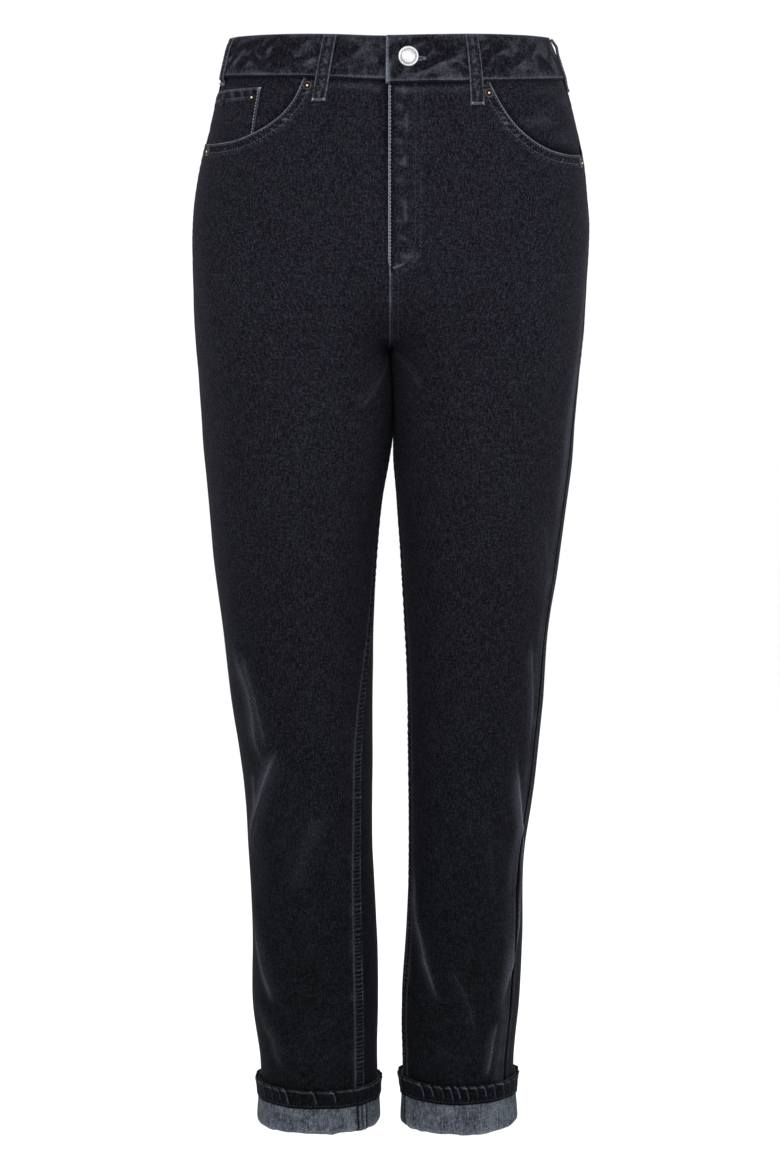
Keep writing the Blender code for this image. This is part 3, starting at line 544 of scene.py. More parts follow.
def mouthLook(at):
    away, along = pathDistance(mouthPaths[at.side], at.phi, at.z, at.turn)
    diagonal = np.sin(2 * pi * (along + 0.7 * away) / 0.0052 + 2.5 * softNoise(along, 0, 0.012, 61))
    high, low = np.clip(diagonal, 0, 1), np.clip(diagonal, -1, 0)
    height = seams["mouthRise"] * (1 - ease(away, seams["mouthWide"] - 0.002, seams["mouthWide"] + 0.001))
    height += rowDips(away, seams["mouthRows"]) + 0.00030 * diagonal * bell(away - 0.0052, 0.0034)
    height += puckers(away - 0.004, along, 63, 0.9)
    spots = np.clip(softNoise(along, 0 * along, 0.0045, 65), 0, 1) ** 2
    wearAndShade = 1.15 * bell(away - 0.0002, 0.0009) * (0.75 + 0.25 * at.patchy)
    wearAndShade += 1.3 * spots * high ** 2 * bell(away - 0.0068, 0.0022)
    wearAndShade += 0.34 * bell(away - 0.0056, 0.0022) * high ** 2 * at.patchy
    wearAndShade += 0.16 * bell(away - 0.0105, 0.0014) * high
    # Pucker troughs and a line just inside the worn edge darken: painted shade
    wearAndShade += 0.40 * low * bell(away - 0.0056, 0.0026) - 0.30 * bell(away - 0.0022, 0.0009)
    return height, wearAndShade


def flyLook(at):
    if at.side == right:
        # Painted shadow beside the fly's edge, on the cloth just past it
        paintedShadow = ease(at.z, -0.150, -0.060) * bell(np.abs(at.x) - form["flyEdge"] - 0.0010, 0.0034)
        return 0, -0.55 * at.onFront * paintedShadow
    away, run = pathDistance(flyPath, at.phi, at.z, at.turn)
    reach = np.interp(-at.z, [-z for _, z in fly["outer"]], [x for x, _ in fly["outer"]])
    within = (np.abs(at.x) < reach) & at.onFront & (at.z > form["flyFoot"] - 0.001)
    height = seams["flyRise"] * within * np.clip(away / 0.0015, 0, 1)
    inward = np.where(within, away, -away)
    height += at.onFront * (rowDips(inward, seams["flyRows"]) + puckers(away, run, 71, 0.8))
    curved = (0.13 + 0.26 * ease(-at.z, 0.160, 0.178)) * at.beads * at.patchy * at.onFront
    wearAndShade = sum(curved * bell(inward - row - 0.0012, 0.0010) for row in seams["flyRows"])
    inner = at.x + form["flyEdge"]
    onFly = (at.z > form["flyFoot"] - 0.002) & at.onFront
    wearAndShade += onFly * 1.60 * bell(inner - 0.0003, 0.0011) * (0.72 + 0.28 * at.beads)
    # A darker band just inside the worn fly edge: painted shade
    wearAndShade -= onFly * 0.75 * bell(inner - 0.0036, 0.0014) * (0.35 + 0.65 * at.beads)
    for x, level in fly["ripples"]:
        spot = np.hypot((inner - x) / 1.6, at.z - level + 0.25 * (inner - x))
        height += onFly * 0.0005 * bell(spot, 0.0036)
        wearAndShade += onFly * 0.22 * bell(spot, 0.0026) * at.patchy
    rubbed = np.clip(softNoise(at.z, 0 * at.z, 0.006, 72), 0, 1) * ease(at.z, -0.178, -0.160)
    wearAndShade += onFly * 0.30 * bell(inner - 0.0150 - 0.0014 * np.sin(at.z * 70), 0.0015) * rubbed
    return height, wearAndShade


def surfaceField(side, phi, z):
    height, wearAndShade = creaseField(side, phi, z)
    at = spotAt(side, phi, z)
    for part in (clothLook, inseamLook, outseamLook, riseLook, waistLook, yokeLook, mouthLook, flyLook):
        more, worn = part(at)
        height, wearAndShade = height + more, wearAndShade + worn
    return height, np.clip(wearAndShade, -1, 2)


def clothPoint(side, phi, z, out):
    return raised(side, phi, z, out + surfaceField(side, phi, z)[0])


# Leg panels stay on their own side of the mid-plane, and of the slanted plane where the thighs meet
def keepSide(point, side, phi, out):
    y, height = point[..., 1], point[..., 2]
    thigh = ease(-height, -form["crotch"] - 0.005, -form["thighsPart"])
    meeting = thigh * (0.003 + 0.045 * (y - 0.005))
    seamed = (phi > pi) | (height < form["flyFoot"] + 0.0005)
    apart = form["crotch"] - (cloth["lapBelow"] if side == left else 0)
    lapped = np.where(seamed, -cloth["lap"] if side == left else cloth["gap"] / 2, -1.0)
    least = np.where(height < apart, side * meeting + cloth["gap"] / 2 - out, lapped)
    point[..., 0] = side * np.maximum(side * point[..., 0], least)
    return point


# Columns or rows from 0 to 1, closer together near some places: (place, reach, how much closer)
def spread(count, crowds):
    s = np.linspace(0, 1, 3001)
    density = np.ones(len(s))
    for centre, reach, gain in crowds:
        density += gain * bell(s - centre, reach)
    total = np.concatenate([[0], np.cumsum((density[1:] + density[:-1]) / 2)])
    return np.interp(np.linspace(0, total[-1], count), total, s)


# A shell of cloth: a fine outer grid, a coarser inner one, and the cut edges between them
def makeShell(name, outer, inner, flat, wearAndShade, materials):
    rows, columns = outer.shape[:2]
    every = cloth["innerStep"]
    keepRows = sorted(set(range(0, rows, every)) | {rows - 1})
    keepColumns = sorted(set(range(0, columns, every)) | {columns - 1})
    small = inner[np.ix_(keepRows, keepColumns)]
    index = np.arange(rows * columns).reshape(rows, columns)
    smallIndex = rows * columns + np.arange(small.shape[0] * small.shape[1]).reshape(small.shape[:2])
    faces = quads(index)
    outerCount = len(faces)
    faces += [face[::-1] for face in quads(smallIndex)]
    innerCount = len(faces)
    for end in (0, -1):
        for line, coarse, keep in ((index[end], smallIndex[end], keepColumns),
                                   (index[:, end], smallIndex[:, end], keepRows)):
            for i in range(len(keep) - 1):
                outerEdge = [int(v) for v in line[keep[i]:keep[i + 1] + 1]]
                faces.append(outerEdge + [int(coarse[i + 1]), int(coarse[i])])
    points = np.concatenate([outer.reshape(-1, 3), small.reshape(-1, 3)])
    uv = np.concatenate([flat.reshape(-1, 2), flat[np.ix_(keepRows, keepColumns)].reshape(-1, 2)])
    worn = np.concatenate([wearAndShade.ravel(), wearAndShade[np.ix_(keepRows, keepColumns)].ravel() * 0.3])
    obj = makeMesh(name, points, faces, uv, worn, materials)
    slots = np.zeros(len(faces), np.int32)
    if len(materials) > 1:
        slots[outerCount:innerCount] = 1
    obj.data.polygons.foreach_set("material_index", slots)
    closeShell(obj)
    return obj


def quads(index):
    a, b, c, d = index[:-1, :-1], index[:-1, 1:], index[1:, 1:], index[1:, :-1]
    return np.stack([a, b, c, d], axis=-1).reshape(-1, 4).tolist()


def makeMesh(name, points, faces, uv, worn, materials):
    mesh = bpy.data.meshes.new(name)
    mesh.from_pydata(points.tolist(), [], faces)
    layer = mesh.uv_layers.new(name="cloth")
    loops = np.empty(len(mesh.loops), np.int32)
    mesh.loops.foreach_get("vertex_index", loops)
    layer.data.foreach_set("uv", uv[loops].astype(np.float32).ravel())
    # The worn attribute holds wear above 0 and painted shade below 0
    attribute = mesh.attributes.new("worn", "FLOAT", "POINT")
    attribute.data.foreach_set("value", worn.astype(np.float32))
    for material in materials:
        mesh.materials.append(material)
    return addObject(name, mesh)


def addObject(name, data):
    obj = bpy.data.objects.new(name, data)
    bpy.context.scene.collection.objects.link(obj)
    return obj


def closeShell(obj):
    shell = bmesh.new()
    shell.from_mesh(obj.data)
    bmesh.ops.recalc_face_normals(shell, faces=shell.faces)
    shell.to_mesh(obj.data)
    shell.free()
    obj.data.shade_smooth()
    obj.data.set_sharp_from_angle(angle=radians(52))


# A tube of cloth: rows of closed rings, joined round when loop is set and capped otherwise
def makeRing(name, grid, flat, wearAndShade, materials, loop, slots=None):
    rows, columns = grid.shape[:2]
    index = np.arange(rows * columns).reshape(rows, columns)
    index = np.concatenate([index, index[:, :1]], axis=1)
    if loop:
        index = np.concatenate([index, index[:1]], axis=0)
    faces = quads(index)
    if not loop:
        faces += [[int(v) for v in index[0][:-1]], [int(v) for v in index[-1][:-1]]]
    obj = makeMesh(name, grid.reshape(-1, 3), faces, flat.reshape(-1, 2), wearAndShade.ravel(), materials)
    if slots is not None:
        around = np.tile(np.asarray(slots, np.int32), rows if loop else rows - 1)
        full = np.zeros(len(faces), np.int32)
        full[:len(around)] = around
        obj.data.polygons.foreach_set("material_index", full)
    closeShell(obj)
    return obj


# Materials

def mathNode(tree, operation, a, b=None):
    node = tree.nodes.new("ShaderNodeMath")
    node.operation = operation
    for socket, value in zip(node.inputs, (a, b)):
        if isinstance(value, (int, float)):
            socket.default_value = value
        elif value is not None:
            tree.links.new(value, socket)
    return node.outputs[0]


def mixColour(tree, factor, a, b):
    node = tree.nodes.new("ShaderNodeMix")
    node.data_type = "RGBA"
    for socket, value in ((node.inputs[0], factor), (node.inputs[6], a), (node.inputs[7], b)):
        if isinstance(value, tuple):
            socket.default_value = (*value, 1)
        elif isinstance(value, (int, float)):
            socket.default_value = value
        else:
            tree.links.new(value, socket)
    return node.outputs[2]


def noiseNode(tree, vector, scale, stretch, detail=2.0, roughness=0.5):
    mapping = tree.nodes.new("ShaderNodeMapping")
    mapping.inputs["Scale"].default_value = stretch
    tree.links.new(vector, mapping.inputs["Vector"])
    noise = tree.nodes.new("ShaderNodeTexNoise")
    noise.inputs["Scale"].default_value = scale
    noise.inputs["Detail"].default_value = detail
    noise.inputs["Roughness"].default_value = roughness
    tree.links.new(mapping.outputs[0], noise.inputs["Vector"])
    return noise.outputs["Fac"]


def rampNode(tree, value, low, high, outLow=0.0, outHigh=1.0):
    node = tree.nodes.new("ShaderNodeMapRange")
    node.inputs["From Min"].default_value = low
    node.inputs["From Max"].default_value = high
    node.inputs["To Min"].default_value = outLow
    node.inputs["To Max"].default_value = outHigh
    tree.links.new(value, node.inputs["Value"])
    return node.outputs["Result"]


def newMaterial(name):
    material = bpy.data.materials.new(name)
    material.use_nodes = True
    return material, material.node_tree, material.node_tree.nodes["Principled BSDF"]


denimLook = {
    "dark": (0.0024, 0.0023, 0.0042),
    "light": (0.0232, 0.0229, 0.0318),
    # Darker colours for the lower legs: painted shade
    "lowShadeDark": (0.0009, 0.0010, 0.0015),
    "lowShadeLight": (0.0080, 0.0086, 0.0108),
    "worn": (0.1250, 0.1340, 0.1660),
    "bare": (0.3600, 0.3750, 0.4200),
    "wrongDark": (0.0110, 0.0135, 0.0185),
    "wrongLight": (0.1080, 0.1220, 0.1470),
    "insideDark": (0.010, 0.012, 0.017),
    "insideLight": (0.045, 0.052, 0.068),
    "twill": 0.0010,            # between twill lines
    "yarns": 900.0,             # to a metre, at the finest
    "speckle": 620.0,           # flecks to a metre
    "sheen": 0.015,
    "specular": 0.03,
}


def makeDenim(name, colours, slubMix, contrast):
    material, tree, shader = newMaterial(name)
    uv = tree.nodes.new("ShaderNodeUVMap")
    uv.uv_map = "cloth"
    place = uv.outputs[0]
    attribute = tree.nodes.new("ShaderNodeAttribute")
    attribute.attribute_name = "worn"
    wearAndShade = attribute.outputs["Fac"]
    yarns, speckles = denimLook["yarns"], denimLook["speckle"]
    slub = noiseNode(tree, place, yarns, (1.0, 0.045, 1), 3.0, 0.6)
    weft = noiseNode(tree, place, yarns, (0.09, 0.9, 1), 2.0, 0.5)
    speckle = noiseNode(tree, place, speckles, (1.15, 0.8, 1), 1.5, 0.55)
    cloud = noiseNode(tree, place, 16.0, (1, 0.6, 1), 3.0, 0.55)
    dashes = noiseNode(tree, place, speckles, (1.0, 0.24, 1), 2.0, 0.5)
    crossDashes = noiseNode(tree, place, speckles, (0.30, 1.1, 1), 2.0, 0.5)
    twillMap = tree.nodes.new("ShaderNodeMapping")
    twillMap.inputs["Rotation"].default_value = (0, 0, radians(-27))
    twillMap.inputs["Scale"].default_value = (1 / denimLook["twill"],) * 3
    tree.links.new(place, twillMap.inputs["Vector"])
    twill = tree.nodes.new("ShaderNodeTexWave")
    twill.inputs["Scale"].default_value = 2 * pi / 20
    twill.inputs["Distortion"].default_value = 1.2
    twill.inputs["Detail"].default_value = 1.0
    twill.inputs["Detail Scale"].default_value = 1.5
    tree.links.new(twillMap.outputs[0], twill.inputs["Vector"])
    grain = mathNode(tree, "MULTIPLY", rampNode(tree, slub, 0.42, 0.70), slubMix)
    for more, share in (
        (rampNode(tree, weft, 0.45, 0.72), 0.12), (rampNode(tree, speckle, 0.54, 0.70), contrast),
        (twill.outputs["Fac"], 0.10), (rampNode(tree, dashes, 0.46, 0.72, -0.05, 0.48), 1.0),
        (rampNode(tree, crossDashes, 0.50, 0.74, -0.03, 0.36), 1.0),
    ):
        grain = mathNode(tree, "ADD", grain, mathNode(tree, "MULTIPLY", more, share))
    grain = mathNode(tree, "MULTIPLY", grain, rampNode(tree, cloud, 0.30, 0.70, 0.86, 1.04))
    dark, light, lowShadeDark, lowShadeLight, worn = colours
    axes = tree.nodes.new("ShaderNodeSeparateXYZ")
    tree.links.new(tree.nodes.new("ShaderNodeTexCoord").outputs["Object"], axes.inputs[0])
    # From the hips down to the shins the colours go over to the darker low ones: painted shade, darker
    # towards the bottom
    low = rampNode(tree, axes.outputs["Z"], -0.20, -0.85)
    upper, lower = mixColour(tree, grain, dark, light), mixColour(tree, grain, lowShadeDark, lowShadeLight)
    base = mixColour(tree, low, upper, lower)
    rubbed = mathNode(tree, "MULTIPLY", wearAndShade, rampNode(tree, speckle, 0.32, 0.62, 0.55, 1.20))
    rubbed = mathNode(tree, "MINIMUM", mathNode(tree, "MAXIMUM", rubbed, 0.0), 1.0)
    # The worn attribute below 0 mixes towards near black: painted shade; above 0 it is rubbed dye
    paintedShade = rampNode(tree, wearAndShade, 0.0, -1.0)
    base = mixColour(tree, paintedShade, mixColour(tree, rubbed, base, worn), tuple(0.25 * c for c in dark))
    base = mixColour(tree, rampNode(tree, wearAndShade, 1.0, 2.0), base, denimLook["bare"])
    tree.links.new(base, shader.inputs["Base Color"])
    height = mathNode(tree, "ADD", mathNode(tree, "MULTIPLY", twill.outputs["Fac"], 0.4), slub)
    height = mathNode(tree, "ADD", height, mathNode(tree, "MULTIPLY", speckle, 0.8))
    bump = tree.nodes.new("ShaderNodeBump")
    bump.inputs["Strength"].default_value = 0.55
    bump.inputs["Distance"].default_value = 0.00028
    tree.links.new(height, bump.inputs["Height"])
    tree.links.new(bump.outputs[0], shader.inputs["Normal"])
    tree.links.new(rampNode(tree, speckle, 0.2, 0.8, 0.92, 0.78), shader.inputs["Roughness"])
    shader.inputs["Specular IOR Level"].default_value = denimLook["specular"]
    shader.inputs["Sheen Weight"].default_value = denimLook["sheen"]
    shader.inputs["Sheen Roughness"].default_value = 0.5
    shader.inputs["Sheen Tint"].default_value = (0.62, 0.70, 0.90, 1)
    return material


def denimColours(*names):
    return [denimLook[name] for name in names]


denim = makeDenim("denim", denimColours("dark", "light", "lowShadeDark", "lowShadeLight", "worn"), 0.20, 0.95)
wrongColours = denimColours("wrongDark", "wrongLight") * 2 + [(0.20, 0.22, 0.26)]
wrongSide = makeDenim("denimWrongSide", wrongColours, 0.42, 0.62)
insideColours = denimColours("insideDark", "insideLight") * 2 + [(0.10, 0.12, 0.15)]
insideCloth = makeDenim("denimInside", insideColours, 0.5, 0.4)


def makeThread(name, colour):
    material, tree, shader = newMaterial(name)
    place = tree.nodes.new("ShaderNodeTexCoord").outputs["Object"]
    twist = noiseNode(tree, place, 2600.0, (1, 1, 1), 1.0)
    paler = tuple(min(1.0, c * 1.9) for c in colour)
    mixed = mixColour(tree, rampNode(tree, twist, 0.35, 0.65), colour, paler)
    tree.links.new(mixed, shader.inputs["Base Color"])
    shader.inputs["Roughness"].default_value = 0.7
    shader.inputs["Specular IOR Level"].default_value = 0.2
    return material


darkThread = makeThread("threadDark", (0.011, 0.013, 0.019))
greyThread = makeThread("threadGrey", (0.046, 0.053, 0.072))
paleThread = makeThread("threadPale", (0.170, 0.180, 0.205))


def makeMetal(name, colour, tarnish, roughness):
    material, tree, shader = newMaterial(name)
    place = tree.nodes.new("ShaderNodeTexCoord").outputs["Object"]
    spots = noiseNode(tree, place, 900.0, (1, 1, 1), 4.0, 0.6)
    mixed = mixColour(tree, rampNode(tree, spots, 0.45, 0.75), colour, tarnish)
    tree.links.new(mixed, shader.inputs["Base Color"])
    tree.links.new(rampNode(tree, spots, 0.3, 0.8, roughness, roughness + 0.22), shader.inputs["Roughness"])
    shader.inputs["Metallic"].default_value = 1.0
    return material


silver = makeMetal("buttonSilver", (0.70, 0.70, 0.71), (0.44, 0.44, 0.46), 0.30)
# Darker silver for the button's grooves: painted shade
grooveShadeSilver = makeMetal("buttonGrooveShade", (0.30, 0.30, 0.31), (0.20, 0.20, 0.21), 0.40)
copper = makeMetal("rivetCopper", (0.110, 0.070, 0.050), (0.030, 0.022, 0.019), 0.36)
darkMetal = makeMetal("rivetDark", (0.022, 0.018, 0.017), (0.008, 0.007, 0.007), 0.42)
bright = makeMetal("rivetBright", (0.80, 0.76, 0.70), (0.45, 0.41, 0.36), 0.20)
print("materials made")


# Sewing: each row is a line of places and normals on the cloth, gathered here by thread
sewing = {
    "pitch": 0.0031,
    "length": 0.0026,
    "width": 0.00075,
    "height": 0.00060,
    "lift": 0.00012,      # off the cloth
    "bar": 0.0007,        # between the close stitches of a bar tack
    "rows": {"dark": [], "grey": [], "pale": []},
}


def sewRow(thread, points, normals, pitch=None, tilt=0.0):
    pitch = pitch or sewing["pitch"]
    points, normals = np.asarray(points, float), np.asarray(normals, float)
    run = lengthAlong(points)
    count = max(1, int(run[-1] / pitch))
    t = (np.arange(count) + 0.5) * run[-1] / count

    def sample(values, at):
        return np.stack([np.interp(at, run, values[:, k]) for k in range(3)], axis=1)

    places, away = sample(points, t), sample(normals, t)
    along = sample(points, t + pitch * 0.4) - sample(points, t - pitch * 0.4)
    along /= np.linalg.norm(along, axis=1, keepdims=True)
    away /= np.linalg.norm(away, axis=1, keepdims=True)
    if tilt:
        along = along * np.cos(tilt) + np.cross(away, along) * np.sin(tilt)
    sewing["rows"][thread].append((places, along, away))


def sewOnLeg(thread, side, phi, z, out=0.0, pitch=None, keep=True):
    phi, z = np.broadcast_arrays(np.asarray(phi, float), np.asarray(z, float))
    points = clothPoint(side, phi, z, out + sewing["lift"])
    if keep:
        points = keepSide(points, side, phi, 0.0)
    sewRow(thread, points, outward(side, phi, z), pitch)


# Leg panels

panelMesh = {"frontColumns": 150, "backColumns": 124, "topRows": 46, "frontStep": 0.00175, "backStep": 0.0021,
             "jeansFoot": form["legEnd"]}


def frontEdges(side, z):
    start, end = float(seamAngle("in", side, z)), float(seamAngle("out", side, z))
    if z >= form["flyFoot"]:
        reach = form["flyTuck"] if side == right else form["flyEdge"]
        share = min(1, (z - form["flyFoot"]) / (form["flyTurn"] - form["flyFoot"]))
        start = phiAt(side, -reach, z) * share
    else:
        under = float(ease(-z, -form["crotch"] + 0.006, -form["crotch"] + 0.02))
        start -= under * seams["fellHalf"] / float(roundness(side, start, z))
        start -= (1 - under) * (side == left) * cloth["lap"] / float(roundness(side, 0.0, z))
    return start, end


def mouthHeight(side, phi):
    points = form["mouths"][side]
    angles = [phiAt(side, x, z) for x, z in points]
    reach = smooth(phi, angles, [z for x, z in points])
    return np.where(phi < angles[0], waistSeam(side, phi), reach)


def flyDip(side, phi, z):
    if side == left:
        return np.zeros(np.shape(phi))
    flat, ramp = phiAt(side, form["flyFlatX"], -0.0187), phiAt(side, form["flyRampX"], -0.0187)
    across = 1 - np.clip((phi - flat) / (ramp - flat), 0, 1)
    down = np.clip((z - form["flyFlat"]) / (form["flyFoot"] - form["flyFlat"]), 0, 1)
    return -cloth["step"] * across * down


def levels(foot, step):
    count = int((form["topJoin"] - foot) / step)
    return np.linspace(form["topJoin"], foot, count + 1)


# Where the cloth lies when flat: along each level from the middle of the front or back, and the height
def flatPlace(side, phi, z):
    steps = np.linalg.norm(np.diff(bodyPoint(side, phi, z)[..., :2], axis=1), axis=-1)
    run = np.concatenate([np.zeros((len(phi), 1)), np.cumsum(steps, axis=1)], axis=1)
    middle = pi / 2 if phi.mean() < pi else 3 * pi / 2
    order = slice(None, None, 1 if phi[0, -1] > phi[0, 0] else -1)
    run -= np.array([[np.interp(middle, a[order], b[order])] for a, b in zip(phi, run)])
    return np.stack([run, z], axis=-1)


def stand(obj, slot, *nodes):
    if nodes:
        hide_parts(*nodes)
    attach(obj, "root")


def declare(obj, node, slot="denim"):
    stand(obj, slot, node)


def sidePiece(name, side):
    return name + sideNames[side].capitalize()


# A panel of the legs: its outer face, an inner one that follows the folds; its solid is hidden and the panel
# attached to the root
def makePanel(name, node, side, phi, z, out, backing, fold=True):
    lift, wearAndShade = surfaceField(side, phi, z)
    follow = 0.8 * creaseField(side, phi, z)[0] if fold else 0
    outer = keepSide(raised(side, phi, z, out + lift), side, phi, out)
    inner = keepSide(raised(side, phi, z, out + follow - backing), side, phi, out - cloth["thick"])
    obj = makeShell(sidePiece(name, side), outer, inner, flatPlace(side, phi, z), wearAndShade, (denim, insideCloth))
    declare(obj, node + "_" + sideNames[side])


def makeFront(side):
    count = panelMesh["frontColumns"]
    cornerX, cornerZ = form["mouths"][side][0]
    topStart, topEnd = frontEdges(side, form["topJoin"])
    corner = (phiAt(side, cornerX, cornerZ) - topStart) / (topEnd - topStart)
    shares = spread(count, ((0, 0.05, 1.6), (corner + 0.05, 0.12, 1.8), (1, 0.03, 1)))
    snap = int(np.argmin(abs(shares - corner)))
    shares[snap] = corner
    legShares = spread(count, ((0, 0.055, 3.0), (1, 0.045, 3.0)))

    def angles(level):
        mix = ease(level, -0.36, -0.19)
        start, end = frontEdges(side, float(level))
        return start + (end - start) * (shares * mix + legShares * (1 - mix))

    top = angles(form["topJoin"])
    edge = mouthHeight(side, top)
    edge[snap] = waistSeam(side, top[snap])
    phis, heights = [], []
    for share in np.linspace(0, 1, panelMesh["topRows"], endpoint=False):
        phis.append(top)
        heights.append(edge - cloth["gap"] / 2 + (form["topJoin"] - edge) * share ** 1.15)
    for z in levels(panelMesh["jeansFoot"], panelMesh["frontStep"]):
        phis.append(angles(z))
        heights.append(np.full(count, z))
    phi, z = np.array(phis), np.array(heights)
    makePanel("front", "front", side, phi, z, flyDip(side, phi, z), cloth["inside"])


def makeBack(side):
    count = panelMesh["backColumns"]
    shares = spread(count, ((0, 0.045, 2.6), (1, 0.05, 2.6)))
    phis, heights = [], []
    start, end = float(seamAngle("out", side, form["topJoin"])), 2 * pi
    top = start + (end - start) * shares
    edge = yokeHeight(side, top) - cloth["gap"] / 2
    for share in np.linspace(0, 1, 16, endpoint=False):
        phis.append(top)
        heights.append(edge + (form["topJoin"] - edge) * share)
    for z in levels(panelMesh["jeansFoot"], panelMesh["backStep"]):
        start, end = float(seamAngle("out", side, z)), 2 * pi + float(seamAngle("in", side, z))
        end += (side == left) * (z > form["crotch"]) * cloth["lap"] / float(roundness(side, 2 * pi, z))
        phis.append(start + (end - start) * shares)
        heights.append(np.full(count, z))
    phi, z = np.array(phis), np.array(heights)
    makePanel("back", "back", side, phi, z, 0.0, cloth["inside"])


def makeYoke(side):
    start = float(seamAngle("out", side, form["yokeSide"]))
    phi, share = np.meshgrid(start + (2 * pi - start) * spread(110, ((0, 0.04, 1.5), (1, 0.05, 1.5))),
                             np.linspace(0, 1, 34))
    top = waistSeam(side, phi) - cloth["gap"] / 2
    foot = yokeHeight(side, phi) + cloth["gap"] / 2
    makePanel("yoke", "yoke", side, phi, top + (foot - top) * share, 0.0, cloth["thick"], fold=False)


for side in (right, left):
    makeFront(side)
    makeBack(side)
    makeYoke(side)
print("leg panels and yokes made")


# Pocket mouths: the facing behind each, and the coin pocket on the wearer's right

pocketLook = {"facingTuck": 0.014, "facingSide": 0.012, "coinTuck": 0.010, "coinEdge": 0.1170,
              "coinTop": (-0.0275, -0.0330), "coinRows": (0.0020, 0.0085)}


def mouthRows(side, phi, reaches):
    edge = mouthHeight(side, phi)
    room = waistSeam(side, phi) - cloth["gap"] / 2 - edge
    squeeze = np.minimum(1, (room + 0.004) / 0.044)
    return edge, room, [-0.004 + (reach + 0.004) * squeeze for reach in reaches]


def mouthDip(above):
    return -cloth["step"] * (1 - ease(above, 0.003, 0.018))


def facingField(side, phi, z, above):
    u = phi * roundness(side, phi, z)
    height = 0.0003 * softNoise(u, z, 0.018, 91) + 0.0002 * softNoise(u, z, 0.007, 92)
    # Painted shadow on the facing just inside the pocket mouth
    paintedShadow = bell(above - 0.001, 0.0045 if side == left else 0.0025)
    return height, 0.01 + 0.07 * softNoise(u, z, 0.010, 93) - 0.9 * paintedShadow


def makeFacing(side, depth):
    cornerX, cornerZ = form["mouths"][side][0]
    start = phiAt(side, cornerX - pocketLook["facingSide"], cornerZ)
    end = float(seamAngle("out", side, -0.03))
    phi = np.linspace(start, end, 60)
    edge, room, rows = mouthRows(side, phi, np.linspace(0.029, -0.004, 16))
    above = np.array([room + (rows[0] - room) * k / 8 for k in range(8)] + rows
                     + [np.full(len(phi), v) for v in (-0.009, -pocketLook["facingTuck"])])
    phi = np.broadcast_to(phi, above.shape)
    z = edge + above
    out = mouthDip(above) - depth
    lift, wearAndShade = facingField(side, phi, z, above)
    obj = makeShell(sidePiece("pocketFacing", side), raised(side, phi, z, out + lift - 0.0002),
                    raised(side, phi, z, out - cloth["inside"]), flatPlace(side, phi, z), wearAndShade, (denim,))
    declare(obj, "pocket_facing_" + sideNames[side])


def coinPlaces(count=46):
    end = float(seamAngle("out", right, -0.03))
    start = phiAt(right, pocketLook["coinEdge"], -0.03)
    return np.linspace(start, end, count)


def coinTop(phi):
    share = (phi - phi.min()) / (phi.max() - phi.min())
    return pocketLook["coinTop"][0] + (pocketLook["coinTop"][1] - pocketLook["coinTop"][0]) * share


def coinField(phi, z, top, start):
    turn = roundness(right, phi, z)
    inner, down = (phi - start) * turn, top - z
    u = phi * turn
    height = 0.0003 * softNoise(u, z, 0.014, 95) + 0.0004 * bell(down - 0.0052, 0.004)
    pucker = np.sin(2 * pi * u / 0.0046 + 2.6 * softNoise(u, 0 * u, 0.012, 97)) * bell(down - 0.0052, 0.0036)
    height += 0.00028 * pucker
    wearAndShade = 1.00 * bell(down - 0.0002, 0.0009) + 0.55 * bell(inner, 0.0010)
    wearAndShade = wearAndShade + 0.34 * bell(down - 0.0096, 0.0008)
    wearAndShade = wearAndShade * (0.65 + 0.35 * softNoise(u, z, 0.006, 96)) + 0.01
    wearAndShade += 1.5 * bell(np.hypot(inner, down), 0.0030)
    # Pucker crests are rubbed paler; pucker troughs darken: painted shade
    wearAndShade += 0.24 * np.clip(pucker, 0, 1) + 0.45 * np.clip(pucker, -1, 0)
    height += rowDips(down, pocketLook["coinRows"]) + rowDips(inner, (0.0022,))
    return height, np.clip(wearAndShade, -1, 2)


def makeCoinPocket():
    phi = coinPlaces()
    edge, _, rows = mouthRows(right, phi, np.linspace(0.029, -0.004, 20))
    top = coinTop(phi)
    above = np.array([(top - edge) + (rows[0] - (top - edge)) * k / 10 for k in range(10)] + rows
                     + [np.full(len(phi), v) for v in (-0.007, -pocketLook["coinTuck"])])
    z = edge + above
    start = phi[0]
    phi = np.broadcast_to(phi, above.shape)
    out = mouthDip(above)
    lift, wearAndShade = coinField(phi, z, np.broadcast_to(top, z.shape), start)
    outer, inner = raised(right, phi, z, out + lift), raised(right, phi, z, out - cloth["thick"] + 0.0001)
    obj = makeShell("coinPocket", outer, inner, flatPlace(right, phi, z), wearAndShade, (denim,))
    declare(obj, "coin_pocket")


makeFacing(right, cloth["step"])
makeFacing(left, 0.0)
makeCoinPocket()


# Back pockets

backPocket = {"middle": 0.100, "topHalf": 0.070, "footHalf": 0.059, "top": -0.097, "corner": -0.205,
              "point": 0.020, "seatRadius": 0.0855, "lift": 0.0010, "hem": 0.013, "rows": (0.0020, 0.0082)}


def pocketPlace(across, down):
    half = backPocket["topHalf"] + (backPocket["footHalf"] - backPocket["topHalf"]) * down
    foot = backPocket["corner"] - backPocket["point"] * (1 - np.abs(across))
    phi = 2 * pi - (backPocket["middle"] + across * half) / backPocket["seatRadius"]
    return phi, backPocket["top"] + (foot - backPocket["top"]) * down


